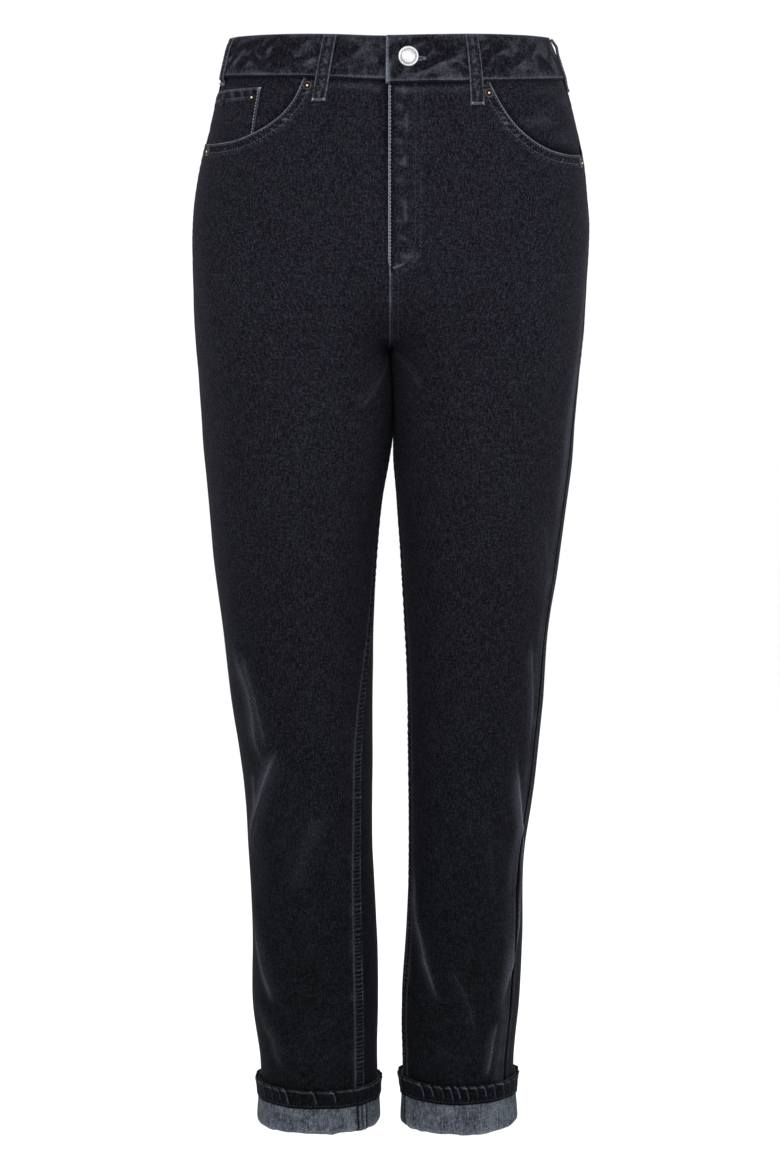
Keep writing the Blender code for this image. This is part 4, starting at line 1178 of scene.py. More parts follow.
def pocketField(side, across, down):
    phi, z = pocketPlace(across, down)
    half = backPocket["topHalf"] + (backPocket["footHalf"] - backPocket["topHalf"]) * down
    length = backPocket["top"] - backPocket["corner"] + backPocket["point"] * (1 - np.abs(across))
    edges = {"side": half * (1 - np.abs(across)), "foot": length * (1 - down), "top": length * down}
    rim = np.minimum(edges["side"], edges["foot"])
    u, v = across * half, z
    height = 0.0004 * softNoise(u, v, 0.022, 101 + side) + 0.0002 * softNoise(u, v, 0.008, 103)
    wave = np.sin(2 * pi * (u + v * 0.6) / 0.0060 + 3 * softNoise(u, v, 0.014, 105))
    height += 0.00016 * wave * bell(rim - 0.004, 0.004) + 0.0004 * bell(rim - 0.0045, 0.004)
    height += 0.0005 * (1 - ease(edges["top"], backPocket["hem"] - 0.001, backPocket["hem"] + 0.001))
    height += rowDips(rim, backPocket["rows"])
    patchy = 0.7 + 0.3 * softNoise(u, v, 0.011, 107)
    wearAndShade = 0.60 * bell(rim, 0.0012) + 0.24 * bell(rim - 0.005, 0.0028) * np.clip(wave, 0, 1)
    wearAndShade += 0.75 * bell(edges["top"], 0.0012) + 0.10 * bell(edges["top"] - backPocket["hem"], 0.0016)
    return phi, z, height, np.clip(wearAndShade * patchy + 0.05, 0, 1)


def makeBackPocket(side):
    across, down = np.meshgrid(np.linspace(-1, 1, 81), np.linspace(0, 1, 73))
    phi, z, lift, wearAndShade = pocketField(side, across, down)
    base = surfaceField(side, phi, z)[0] + backPocket["lift"]
    obj = makeShell(sidePiece("backPocket", side), raised(side, phi, z, base + cloth["thick"] + lift),
                    raised(side, phi, z, base - 0.0004), flatPlace(side, phi, z), wearAndShade, (denim,))
    declare(obj, "back_pocket_" + sideNames[side])
    for row in backPocket["rows"]:
        across = 1 - row / ((backPocket["topHalf"] + backPocket["footHalf"]) / 2)
        down = np.linspace(0, 1 - row / 0.110, 60)
        foot = np.linspace(across, -across, 60)
        path = np.concatenate([np.stack([np.full(60, across), down], axis=1),
                               np.stack([foot, np.full(60, down[-1])], axis=1)[1:],
                               np.stack([np.full(60, -across), down[::-1]], axis=1)[1:]])
        sewPocket(side, path, "grey")
    for level in (0.0022 / 0.118, backPocket["hem"] / 0.118):
        edge = np.linspace(-0.985, 0.985, 60)
        sewPocket(side, np.stack([edge, np.full(60, level)], axis=1), "grey")


def sewPocket(side, path, thread):
    phi, z, lift, _ = pocketField(side, path[:, 0], path[:, 1])
    out = surfaceField(side, phi, z)[0] + backPocket["lift"] + cloth["thick"] + lift + sewing["lift"]
    sewRow(thread, raised(side, phi, z, out), outward(side, phi, z))


for side in (right, left):
    makeBackPocket(side)
print("pockets made")


# Waistband: one strip, lapped at the front, the wearer's left over the right

band = {"out": 0.0012, "in": -0.0014, "lap": 0.00145, "turns": 880, "edgeRow": 0.0021, "radius": 0.125,
        "frontRadius": 0.145,
        "start": phiAt(left, -0.0036, 0.0) / 2, "end": 2 * pi - phiAt(right, -0.034, 0.0) / 2}

# Wrinkles in the waistband: turn in degrees, share of its height, length, lean and
# height of the ripple
bandRipples = (
    (5.2, 0.28, 0.011, 0.5, 0.0005), (6.6, 0.70, 0.010, -0.6, 0.0006), (10.9, 0.80, 0.014, 1.6, 0.0005),
    (12.2, 0.22, 0.018, 2.4, 0.0006), (14.5, 0.64, 0.013, 0.9, 0.0006), (15.8, 0.36, 0.022, 1.9, 0.0007),
    (18.9, 0.70, 0.016, 1.2, 0.0005), (20.3, 0.44, 0.026, 2.1, 0.0006), (23.2, 0.62, 0.018, 1.5, 0.0007),
    (25.0, 0.30, 0.014, -0.8, 0.0005), (32.0, 0.66, 0.020, 1.7, 0.0006), (34.5, 0.40, 0.012, 0.6, 0.0005),
    (38.6, 0.58, 0.024, 2.2, 0.0007), (44.0, 0.74, 0.012, -0.9, 0.0005), (47.5, 0.38, 0.020, 1.4, 0.0006),
    (56.0, 0.60, 0.016, 1.1, 0.0006), (63.5, 0.42, 0.022, -1.3, 0.0006), (72.0, 0.66, 0.014, 0.8, 0.0005),
    (80.0, 0.40, 0.018, -1.2, 0.0006), (93.0, 0.62, 0.020, 1.3, 0.0005), (106.0, 0.44, 0.014, -0.7, 0.0006),
    (118.0, 0.66, 0.018, 1.5, 0.0006), (133.0, 0.40, 0.020, -1.1, 0.0005), (146.0, 0.64, 0.014, 0.9, 0.0006),
    (159.0, 0.46, 0.022, 1.6, 0.0006), (170.0, 0.34, 0.012, -0.6, 0.0005), (190.0, 0.64, 0.013, 0.7, 0.0005),
    (203.0, 0.42, 0.020, -1.4, 0.0006), (217.0, 0.62, 0.017, 1.2, 0.0006), (231.0, 0.38, 0.014, -0.9, 0.0005),
    (246.0, 0.64, 0.021, -1.5, 0.0006), (258.0, 0.44, 0.016, 1.0, 0.0006), (268.0, 0.66, 0.018, -1.3, 0.0006),
    (276.5, 0.42, 0.022, 1.2, 0.0007), (281.0, 0.70, 0.018, 1.6, 0.0008), (284.5, 0.34, 0.026, 1.9, 0.0009),
    (288.0, 0.60, 0.020, 1.3, 0.0008), (291.2, 0.46, 0.028, 2.0, 0.0009), (295.4, 0.74, 0.016, 1.2, 0.0006),
    (297.5, 0.38, 0.020, 1.7, 0.0008), (301.8, 0.62, 0.024, 2.2, 0.0008), (305.6, 0.28, 0.014, 1.1, 0.0006),
    (308.3, 0.68, 0.018, 1.8, 0.0006), (311.4, 0.46, 0.022, -1.2, 0.0006), (316.2, 0.66, 0.014, 1.4, 0.0006),
    (319.0, 0.34, 0.018, 1.0, 0.0006), (325.5, 0.58, 0.016, -1.6, 0.0006), (329.6, 0.72, 0.012, 1.1, 0.0005),
    (333.2, 0.40, 0.020, 1.8, 0.0006), (338.5, 0.62, 0.013, -0.9, 0.0005), (343.0, 0.34, 0.017, 1.5, 0.0006),
    (349.0, 0.60, 0.012, 0.8, 0.0005),
)


def bandPlace(turn):
    side = left if turn <= pi else right
    phi = 2 * turn if turn <= pi else 2 * (2 * pi - turn)
    lap = band["lap"] * (1 - ease(turn, 0.25, 0.41)) - band["lap"] * ease(turn, 2 * pi - 0.35, 2 * pi - 0.12)
    low = waistSeam(side, phi) + cloth["gap"] / 2
    return side, phi, lap, float(low), float(waistHeight("top", phi))


def bandField(turn, share, tall):
    u = turn * band["radius"]
    v = share * tall
    height = 0.0004 * softNoise(u, v, 0.024, 111) + 0.00025 * softNoise(u, v, 0.009, 112)
    wearAndShade = np.full(np.shape(u), 0.05)
    height += rowDips(v, (band["edgeRow"],)) + rowDips(tall - v, (band["edgeRow"],))
    for degree, level, length, lean, rise in bandRipples:
        along = u - radians(degree) * band["radius"]
        above = v - level * tall
        across = (along - lean * above) / np.hypot(1, lean)
        run = bell(np.hypot(above, along - across), length / 2)
        height += rise * run * (np.exp(-np.abs(across / 0.0028) ** 1.4) - 0.4 * bell(across + 0.0042, 0.0022))
        # Each wrinkle's crest is paled, painted highlight along with wear, and the trough beside it darkened,
        # painted shade
        wearAndShade += run * rise * (230 * bell(across, 0.0013) + 140 * bell(across - 0.0014, 0.0032)
                              - 430 * bell(across + 0.0042, 0.0032))
    wave = np.sin(2 * pi * u / 0.0066 + 3 * softNoise(u, 0, 0.02, 113))
    height += 0.00018 * wave * (bell(v - 0.0035, 0.004) + bell(tall - v - 0.0035, 0.004))
    patchy = 0.65 + 0.35 * softNoise(u, v, 0.010, 114)
    clouds = softNoise(u, v, 0.014, 117) + 0.6 * softNoise(u, v, 0.006, 118)
    wearAndShade += 0.10 * np.clip(clouds, 0, 1) + 0.30 * np.clip(clouds, -1, 0) * bell(v / tall - 0.5, 0.42)
    wearAndShade += 0.07 * softNoise(u, v, 0.0026, 119) + 0.05 * softNoise(u, v * 3, 0.0060, 120)
    wearAndShade += (0.40 * bell(v - 0.0022, 0.0009) + 0.42 * bell(tall - v, 0.0014)) * patchy
    # Painted shade along the band's lower edge
    wearAndShade -= 0.45 * bell(v, 0.0010)
    wearAndShade += 0.12 * np.clip(wave, 0, 1) * (bell(v - 0.004, 0.002) + bell(tall - v - 0.004, 0.002)) * patchy
    ends = (turn - band["start"]) * band["frontRadius"]
    wearAndShade += 1.10 * bell(ends - 0.0004, 0.0011 + 0.0022 * (1 - share) ** 2) * (0.6 + 0.4 * patchy)
    return height, np.clip(wearAndShade, -1, 2)


def bandPoint(turn, share, out=0.0):
    side, phi, lap, low, high = bandPlace(turn)
    z = low + (high - low) * share
    lift = bandField(np.full(np.shape(share), turn), np.asarray(share), high - low)[0]
    return raised(side, phi, z, band["out"] + lap + lift + out), outward(side, phi, z)


def makeWaistband():
    middle, half = (band["out"] + band["in"]) / 2, (band["out"] - band["in"]) / 2
    front = [(share, band["out"]) for share in np.linspace(0.012, 0.988, 32)]
    rim = [(0.999, middle + half * 0.35), (1.002, middle), (0.999, middle - half * 0.4)]
    behind = [(share, band["in"]) for share in np.linspace(0.988, 0.012, 8)]
    foot = [(-0.012, middle - half * 0.4), (-0.016, middle), (-0.010, middle + half * 0.5)]
    shares, outs = np.array(front + rim + behind + foot).T
    onFront, onBack = outs == band["out"], outs == band["in"]
    across = np.cumsum([0] + [0.0013 if shown else 0.003 for shown in onFront[1:]])
    grid, flat, wearAndShadeGrid = [], [], []
    for turn in np.linspace(band["start"], band["end"], band["turns"]):
        side, phi, lap, low, high = bandPlace(turn)
        lift, wearAndShade = bandField(np.full(shares.shape, turn), shares, high - low)
        wearAndShade[onBack] = 0.08
        grid.append(raised(side, phi, low + (high - low) * shares, outs + lift * onFront + lap))
        flat.append(np.stack([np.full(shares.shape, turn * band["radius"]), across], axis=-1))
        wearAndShadeGrid.append(wearAndShade)
    wearAndShadeGrid[-1] = np.full(shares.shape, 0.3)
    obj = makeRing("waistBand", np.array(grid), np.array(flat), np.array(wearAndShadeGrid), (denim,), loop=False)
    declare(obj, "waistband")
    turns = np.linspace(band["start"] + 0.012, band["end"] - 0.01, 900)
    for share, thread in ((0.055, "grey"), (0.945, "dark")):
        sewRow(thread, *zip(*[bandPoint(turn, np.array(share), sewing["lift"]) for turn in turns]))
    ends = np.linspace(0.06, 0.94, 30)
    first = band["start"] + 0.016
    sewRow("grey", *zip(*[bandPoint(first, np.array(share), sewing["lift"]) for share in ends]))


makeWaistband()
print("waistband made")


# Belt loops: side, phi, lean, slack, tail below the waist seam, depth of the cloth under the tail

loops = {
    "half": 0.0062, "thick": 0.0018, "belowTop": 0.0016,
    "places": {
        "front_right": (right, 44.6, -61, (0.0008, 0.0010, 0.0009), 0.021, 0.0),
        "front_left": (left, 55.6, 57, (0.0008, 0.0010, 0.0009), 0.021, 0.0),
        "side_right": (right, 151.0, -40, (0.0006, 0.0012, 0.0012), 0.0075, -0.0015),
        "side_left": (left, 180.0, 0, (0.0002, 0.0009, 0.0023), 0.012, 0.0),
        "back": (left, 360.0, 0, (0.0011, 0.0014, 0.0013), 0.021, 0.0),
    },
}


def makeBeltLoop(name, side, phi, lean, slack, tail, under):
    phi = radians(phi)
    seam = float(waistSeam(side, phi))
    top = float(waistHeight("top", phi)) - loops["belowTop"]
    clear = band["out"] + cloth["gap"]
    path = (
        (seam - tail, under + cloth["gap"]), (seam - tail * 0.5, under + cloth["gap"] + 0.0002),
        (seam - 0.0025, max(under, 0) + clear * 0.7), (seam + 0.0015, clear + 0.0001),
        (seam + 0.011, clear + slack[0]), (seam + 0.022, clear + slack[1]), (top - 0.008, clear + slack[2]),
        (top - 0.003, clear + slack[2] * 0.4), (top, clear),
    )
    heights = np.linspace(top, seam - tail, 70)
    stands = np.interp(heights, [z for z, _ in path], [out for _, out in path])
    reach = loops["half"] / float(roundness(side, phi, seam))
    ahead = np.linspace(-1, 1, 19)
    across = np.concatenate([ahead, np.linspace(1, -1, 7)])
    onTop = np.repeat([1, 0], (19, 7))
    rounded = np.concatenate([1 - 0.45 * np.abs(ahead) ** 8, np.zeros(7)])
    angles = phi + np.radians(lean) * (heights - seam)
    aside = np.abs(across)
    ridge = 0.00030 * bell(across, 0.30) + 0.00018 * bell(aside - 0.86, 0.10)
    ridge = ridge - 0.00025 * bell(aside - 0.58, 0.08)
    grid, flat, wearAndShadeGrid = [], [], []
    for h, s, a in zip(heights, stands, angles):
        run = top - h
        wobble = 0.00012 * softNoise(across * 6, run * 400, 1.0, 121)
        out = s + onTop * (loops["thick"] * rounded + ridge + wobble - 0.0001)
        grid.append(raised(side, a + reach * across, h, out))
        ends = bell(run, 0.0012) + bell(h - (seam - tail), 0.0010)
        beads = 0.6 + 0.4 * np.sin(2 * pi * run / 0.0034 + 2.4 * softNoise(across * 0.01, run, 0.008, 124))
        patchy = 0.7 + 0.3 * softNoise(across, run, 0.009, 122)
        # Random flecks, and a dark line along each stitch row's dip: painted shade
        flecksAndShade = 0.22 * softNoise(across * 0.006, run, 0.0022, 125) - 0.30 * bell(aside - 0.60, 0.10)
        wearAndShade = 1.05 * bell(aside - 0.96, 0.11) * patchy * (0.45 + 0.55 * beads)
        wearAndShade += 0.16 * bell(across, 0.25) * beads + 0.55 * ends + 0.06 + flecksAndShade
        wearAndShadeGrid.append(np.clip(onTop * wearAndShade, -1, 2))
        flat.append(np.stack([across * loops["half"] + 3 * onTop, np.full(across.shape, h)], axis=-1))
    piece = "beltLoop" + "".join(word.capitalize() for word in name.split("_"))
    obj = makeRing(piece, np.array(grid), np.array(flat), np.array(wearAndShadeGrid), (denim,), loop=False)
    declare(obj, "belt_loop_" + name)
    for share in (-0.58, 0.58):
        row = angles + reach * share
        line = raised(side, row, heights, stands + loops["thick"] + 0.00005)
        sewRow("dark", line, outward(side, row, heights), pitch=0.0028)
    for h, s, a, thread in ((seam - tail + 0.0016, stands[-1], angles[-1], "grey"),
                            (top - 0.0020, stands[0], angles[0], "dark")):
        bar = a + reach * np.linspace(-0.88, 0.88, 24)
        normal = outward(side, bar, h)
        line = raised(side, bar, h, s + loops["thick"] + 0.0003)
        sewRow(thread, line, normal, pitch=sewing["bar"], tilt=pi / 2)
        if thread == "grey":
            for ends in (slice(0, 4), slice(20, 24)):
                sewRow("pale", line[ends] + normal[ends] * 0.0003, normal[ends], pitch=0.0006, tilt=pi / 2)


for name, values in loops["places"].items():
    makeBeltLoop(name, *values)
print("belt loops made")


# Turned-up cuffs, wrong side out, and the hem strip at the top of each

cuff = {"clear": 0.0006, "foot": -1.0084, "top": {right: -0.9662, left: -0.9618}, "hemHeight": 0.0172,
        "hemThick": 0.0014, "around": 300, "hemAround": 440, "hemRows": 16, "radius": 0.055}

# Ripples in the cuffs: degrees from the inseam, lean, width, height of the ripple
cuffRipples = {
    right: (
        (12, 0.3, 0.006, 0.0006), (34, -0.4, 0.008, -0.0005), (58, 0.5, 0.007, 0.0007),
        (86, -0.3, 0.009, 0.0005), (112, 0.6, 0.007, -0.0006), (140, 0.3, 0.008, 0.0006),
        (176, -0.5, 0.008, 0.0006), (214, 0.4, 0.009, -0.0005), (250, -0.3, 0.008, 0.0006),
        (292, 0.5, 0.007, 0.0006), (330, -0.4, 0.008, -0.0005),
    ),
    left: (
        (20, -0.4, 0.007, 0.0006), (46, 0.3, 0.008, -0.0005), (74, -0.5, 0.008, 0.0006),
        (100, 0.4, 0.007, 0.0005), (128, -0.3, 0.008, -0.0006), (158, 0.5, 0.008, 0.0007),
        (196, -0.4, 0.009, 0.0006), (232, 0.3, 0.008, -0.0005), (270, -0.5, 0.008, 0.0006),
        (312, 0.4, 0.007, 0.0006), (342, -0.3, 0.008, -0.0005),
    ),
}


def cuffField(side, phi, z):
    turn = np.mod(phi - seamAngle("in", side, form["legEnd"]), 2 * pi)
    u = turn * cuff["radius"]
    height = 0.0004 * softNoise(u, z, 0.016, 131 + side)
    wearAndShade = 0.06 + 0.10 * softNoise(u, z, 0.012, 133) + 0.12 * softNoise(u, z, 0.0028, 134)
    for degree, lean, width, rise in cuffRipples[side]:
        ripple = bell(u - radians(degree) * cuff["radius"] - lean * (z - cuff["foot"]), width)
        height += rise * ripple
        wearAndShade += 0.12 * ripple * (rise > 0)
    inseam = (np.mod(turn + pi, 2 * pi) - pi) * cuff["radius"]
    outTurn = seamAngle("out", side, form["legEnd"]) - seamAngle("in", side, form["legEnd"])
    outseam = (turn - outTurn) * cuff["radius"]
    height += 0.0011 * (1 - ease(np.abs(inseam), 0.0052, 0.0075))
    height += 0.0005 * bell(np.abs(outseam) - 0.008, 0.004)
    return height, wearAndShade, inseam


def aroundLeg(side, count):
    start = float(seamAngle("in", side, form["legEnd"]))
    return [(start + turn, turn * cuff["radius"]) for turn in np.linspace(0, 2 * pi, count, endpoint=False)]


def makeCuff(side):
    top, foot, end = cuff["top"][side], cuff["foot"], form["legEnd"]
    thick, clear = cloth["thick"], cuff["clear"]
    outside = [(clear + thick + 0.0009 * bell((z - foot - 0.004) / 0.014, 1.0), z)
               for z in np.linspace(top, foot + 0.0042, 22)]
    bottom = [(0.0024, foot + 0.0018), (0.0014, foot), (0.0002, foot + 0.0001), (-0.0006, foot + 0.0012)]
    inside = [(-thick, foot + 0.0045), (-thick, end - 0.004), (-thick, end - cloth["gap"]),
              (0.0, end - cloth["gap"]), (0.0002, foot + 0.0046), (clear + 0.0006, foot + 0.0042),
              (clear + 0.0003, foot + 0.022), (clear, top)]
    outs, heights = np.array(outside + bottom + inside).T
    shown = np.array([1.0] * len(outside) + [0.9, 0.7, 0.5, 0.3] + [0.0] * len(inside))
    across = lengthAlong(np.stack([outs, heights], axis=1))
    grid, flat, wearAndShadeGrid = [], [], []
    for phi, u in aroundLeg(side, cuff["around"]):
        wave = 0.0010 * softNoise(u, 0, 0.016, 141 + side) + 0.0005 * softNoise(u, 0, 0.006, 143)
        z = heights + wave * ease(-heights, 0.985, -foot)
        lift, wearAndShade, inseam = cuffField(side, phi, z)
        # Dark lines at the fell's two edges: painted shade
        fellEdgeShade = bell(inseam - 0.0056, 0.0012) + bell(inseam + 0.0056, 0.0012)
        rows = bell(inseam + 0.0046, 0.0008) + bell(inseam - 0.0004, 0.0007) + bell(inseam - 0.0050, 0.0009)
        wearAndShade = wearAndShade + 0.30 * bell(z - foot, 0.0024) + 0.30 * bell(inseam + 0.0030, 0.0008)
        wearAndShade = wearAndShade - 0.5 * fellEdgeShade - 1.1 * rows
        grid.append(raised(side, phi, z, outs + creaseField(side, phi, z)[0] + lift * shown))
        flat.append(np.stack([np.full(z.shape, u), across], axis=-1))
        wearAndShadeGrid.append(np.clip(wearAndShade, -1, 1) * shown)
    slots = [0] * (len(outside) + 2) + [1] * (len(outs) - len(outside) - 2)
    obj = makeRing(sidePiece("cuff", side), np.array(grid), np.array(flat), np.array(wearAndShadeGrid),
                   (wrongSide, insideCloth), loop=True, slots=slots)
    declare(obj, "cuff_" + sideNames[side], slot="denim_wrong_side")


# Where the hem strip ropes: degrees from the inseam to each ridge's foot
ropes = {
    right: (10, 27, 45, 71, 79, 84, 89, 95, 101, 107, 114, 124, 133, 147, 159, 166, 174, 186, 199, 209, 222,
            239, 251, 262, 277, 290, 301, 313, 327, 342),
    left: (7, 14, 25, 38, 49, 59, 68, 75, 83, 92, 101, 111, 122, 133, 144, 157, 171, 186, 197, 211, 224, 236,
           249, 263, 274, 288, 299, 312, 326, 337, 352),
}


def ropeField(side, u, v):
    height, wearAndShade = np.zeros(v.shape), np.zeros(v.shape)
    share = np.clip(v / cuff["hemHeight"], 0, 1)
    half = pi * cuff["radius"]
    for k, degree in enumerate(ropes[side]):
        size = 0.75 + 0.35 * np.sin(degree * 1.7) - 0.25 * (side == right and 72 < degree < 116)
        away = side * (u - radians(degree) * cuff["radius"])
        away = away + (0.0030 + 0.0022 * size) * (1 - (1 - share) ** 0.42)
        away = np.mod(away + half, 2 * half) - half
        long = size * ease(share, 0.02 + 0.25 * (k % 3 == 1), 0.45)
        height += 0.00075 * long * (bell(away + 0.0016, 0.0026) - 0.6 * bell(away - 0.0016, 0.0014))
        # Rope crests are rubbed paler; the darker line beside each crest is painted shade in its trough
        wearAndShade += long * (0.42 * bell(away + 0.0002, 0.0007) - 0.55 * bell(away - 0.0018, 0.0014))
    return height, wearAndShade


def makeHem(side):
    top, count = cuff["top"][side], cuff["hemRows"]
    inner = cuff["clear"] + cloth["thick"] + cloth["gap"]
    outer = inner + cuff["hemThick"]
    foot = top - cuff["hemHeight"]
    down = np.linspace(0, 1, count)
    outside = list(zip(outer + 0.0003 * np.sin(pi * down), top + 0.0002 + (foot - top + 0.0002) * down))
    inside = [(inner + 0.0007, foot), (inner, foot + 0.0012), (inner, top - 0.001),
              (inner + 0.0006, top + 0.0010)]
    outs, level = np.array(outside + inside).T
    v = level - foot
    shown = np.array([1.0] * count + [0.6, 0.0, 0.0, 0.8])
    rowAt = int(np.argmin(abs(v[:count] - 0.0028)))
    across = lengthAlong(np.stack([outs, level], axis=1))
    grid, flat, wearAndShadeGrid, normals = [], [], [], []
    for phi, u in aroundLeg(side, cuff["hemAround"]):
        around = np.full(v.shape, u)
        lift = cuffField(side, phi, level)[0]
        high, worn = ropeField(side, around, v)
        drop = 0.0007 * softNoise(u, 0, 0.013, 157 + side) * (1 - ease(v, 0.0, 0.008))
        heights = level + shown * (0.0006 * softNoise(u, 0, 0.008, 159) * ease(v, 0.010, 0.017) - drop)
        flare = 0.0013 * ease(v, 0.009, 0.0180)
        sewn = 0.0003 * bell(v - 0.0028, 0.0009)
        height = lift + shown * (high + flare + 0.0002 * softNoise(around, v, 0.004, 154) - sewn)
        topLine = 0.46 * bell(level - top + 0.0006, 0.0010) * (0.7 + 0.3 * softNoise(u, 0, 0.006, 156))
        # The strip darkens towards its lower edge: painted shadow
        wearAndShade = shown * (worn - 0.06 + topLine - 0.35 * bell(v - 0.0005, 0.0016))
        fold = creaseField(side, phi, heights)[0]
        grid.append(raised(side, phi, heights, outs + fold + height * (0.25 + 0.75 * shown)))
        normals.append(outward(side, phi, heights)[rowAt])
        flat.append(np.stack([around, -across], axis=-1))
        wearAndShadeGrid.append(np.clip(wearAndShade, -1, 1))
    obj = makeRing(sidePiece("hem", side), np.array(grid), np.array(flat), np.array(wearAndShadeGrid), (denim,),
                   loop=True)
    declare(obj, "hem_" + sideNames[side])
    normals = np.array(normals + normals[:1])
    sewRow("dark", np.array(grid + grid[:1])[:, rowAt] + normals * 0.00015, normals, pitch=0.0034)


for side in (right, left):
    makeCuff(side)
    makeHem(side)
print("cuffs and hems made")


# Rows of stitches on the legs

def sewLegs():
    heights = np.linspace(form["crotch"] - 0.018, max(cuff["top"].values()) + 0.001, 620)
    for side in (right, left):
        seam = seamAngle("in", side, heights)
        turn = roundness(side, seam, heights)
        for row in seams["fellRows"]:
            sewOnLeg("dark", side, seam + row / turn, heights, -0.0003)
        mouthPhi, mouthZ = mouthPaths[side]
        turn = roundness(side, mouthPhi, mouthZ)
        slope = np.arctan2(np.gradient(mouthZ), np.gradient(mouthPhi) * turn)
        for row in seams["mouthRows"]:
            sewOnLeg("grey", side, mouthPhi - np.sin(-slope) * row / turn, mouthZ - np.cos(slope) * row, 0.0)
        phi = np.linspace(float(seamAngle("out", side, form["yokeSide"])) + 0.02, 2 * pi - 0.01, 260)
        for row in seams["yokeRows"]:
            sewOnLeg("grey", side, phi, yokeHeight(side, phi) + row)
    for row in seams["riseRows"]:
        z = np.linspace(-0.022, form["crotch"] + 0.012, 200)
        phi = [2 * pi - float(np.interp(row, *seatReach(level))) for level in z]
        sewOnLeg("grey", left, np.array(phi), z)
        z = np.linspace(form["flyFoot"] - 0.002, form["crotch"] + 0.008, 66)
        sewOnLeg("dark", left, np.array([phiAt(left, row, level) for level in z]), z)
    flyPhi, flyZ = flyPath
    for row in seams["flyRows"]:
        turn = roundness(left, flyPhi, flyZ)
        normalU, normalV = np.gradient(flyZ), -np.gradient(flyPhi) * turn
        size = np.hypot(normalU, normalV)
        keep = slice(0, len(flyPhi) - (0 if row == 0 else 5))
        rowPhi, rowZ = flyPhi + normalU / size * row / turn, flyZ + normalV / size * row
        sewOnLeg("dark", left, rowPhi[keep], rowZ[keep])
    z = np.linspace(-0.0255, form["flyFoot"] + 0.003, 240)
    sewOnLeg("pale", left, np.array([phiAt(left, 0.0004, level) for level in z]), z, keep=False)


def seatReach(level):
    angles = np.linspace(0, 0.4, 40)
    return bodyPoint(left, 2 * pi - angles, level)[:, 0], angles


# A bar tack: close stitches across a short line
def sewBar(side, x, z, lean, length, thread="grey"):
    t = np.linspace(-length / 2, length / 2, 12)
    phi = np.array([phiAt(side, x + k * np.sin(lean), z + k * np.cos(lean)) for k in t])
    heights = z + t * np.cos(lean)
    sewRow(thread, clothPoint(side, phi, heights, 0.0003), outward(side, phi, heights), sewing["bar"], pi / 2)


def sewCoinPocket():
    phi = coinPlaces(60)
    top = coinTop(phi)

    def line(thread, angles, heights):
        out = mouthDip(heights - mouthHeight(right, angles)) + 0.0002
        sewRow(thread, raised(right, angles, heights, out), outward(right, angles, heights), pitch=0.0029)

    for row in pocketLook["coinRows"]:
        line("grey", phi, top - row)
    start = phi[0] + 0.0022 / float(roundness(right, phi[0], -0.04))
    heights = np.linspace(top[0] - 0.001, float(mouthHeight(right, np.array([start]))[0]) + 0.001, 40)
    line("pale", np.full(40, start), heights)


buttonhole = {"turn": 0.1385, "half": 0.0085, "wide": 0.0016, "share": 0.49}


# Close stitches round the slit
def sewButtonhole():
    for edge in np.linspace(0, 2 * pi, 120, endpoint=False):
        along = np.cos(edge) * (buttonhole["half"] + 0.0012 * (np.cos(edge) > 0.8))
        turn = buttonhole["turn"] + along / band["frontRadius"]
        low, high = bandPlace(turn)[3:]
        share = buttonhole["share"] + np.sin(edge) * buttonhole["wide"] / (high - low)
        place, normal = bandPoint(turn, np.array(share), 0.0003)
        ahead = bandPoint(turn + np.cos(edge) * 0.004, np.array(share + np.sin(edge) * 0.02), 0.0003)[0]
        direction = (ahead - place) / np.linalg.norm(ahead - place)
        sewing["rows"]["grey"].append((place[None], direction[None], normal[None]))


sewLegs()
sewCoinPocket()
sewButtonhole()
sewBar(left, 0.0075, -0.1865, radians(70), 0.010)
sewBar(left, 0.0275, -0.1150, radians(4), 0.009, "dark")
print("sewing laid out")


# Geometry Nodes: one stitch, set on each point along its row

def newTree(name, *inputs):
    tree = bpy.data.node_groups.new(name, "GeometryNodeTree")
    tree.is_modifier = True
    for label, kind in (("Geometry", "Geometry"), *inputs):
        tree.interface.new_socket(label, in_out="INPUT", socket_type="NodeSocket" + kind)
    tree.interface.new_socket("Geometry", in_out="OUTPUT", socket_type="NodeSocketGeometry")
    return tree, tree.nodes.new("NodeGroupInput"), tree.nodes.new("NodeGroupOutput")


def alignNode(tree, label, axis, pivot="AUTO", first=None):
    vector = tree.nodes.new("GeometryNodeInputNamedAttribute")
    vector.data_type = "FLOAT_VECTOR"
    vector.inputs["Name"].default_value = label
    align = tree.nodes.new("FunctionNodeAlignRotationToVector")
    align.axis, align.pivot_axis = axis, pivot
    tree.links.new(vector.outputs["Attribute"], align.inputs["Vector"])
    if first:
        tree.links.new(first, align.inputs["Rotation"])
    return align.outputs[0]


# Copies of a shape on each point, made real
def copiesNode(tree, points, shape, rotation, scale):
    copies = tree.nodes.new("GeometryNodeInstanceOnPoints")
    for label, source in (("Points", points), ("Instance", shape), ("Rotation", rotation), ("Scale", scale)):
        tree.links.new(source, copies.inputs[label])
    real = tree.nodes.new("GeometryNodeRealizeInstances")
    tree.links.new(copies.outputs[0], real.inputs[0])
    return real.outputs[0]


def finishNode(tree, geometry, material, selection=None):
    finish = tree.nodes.new("GeometryNodeSetMaterial")
    finish.inputs["Material"].default_value = material
    tree.links.new(geometry, finish.inputs["Geometry"])
    if selection:
        tree.links.new(selection, finish.inputs["Selection"])
    return finish.outputs[0]


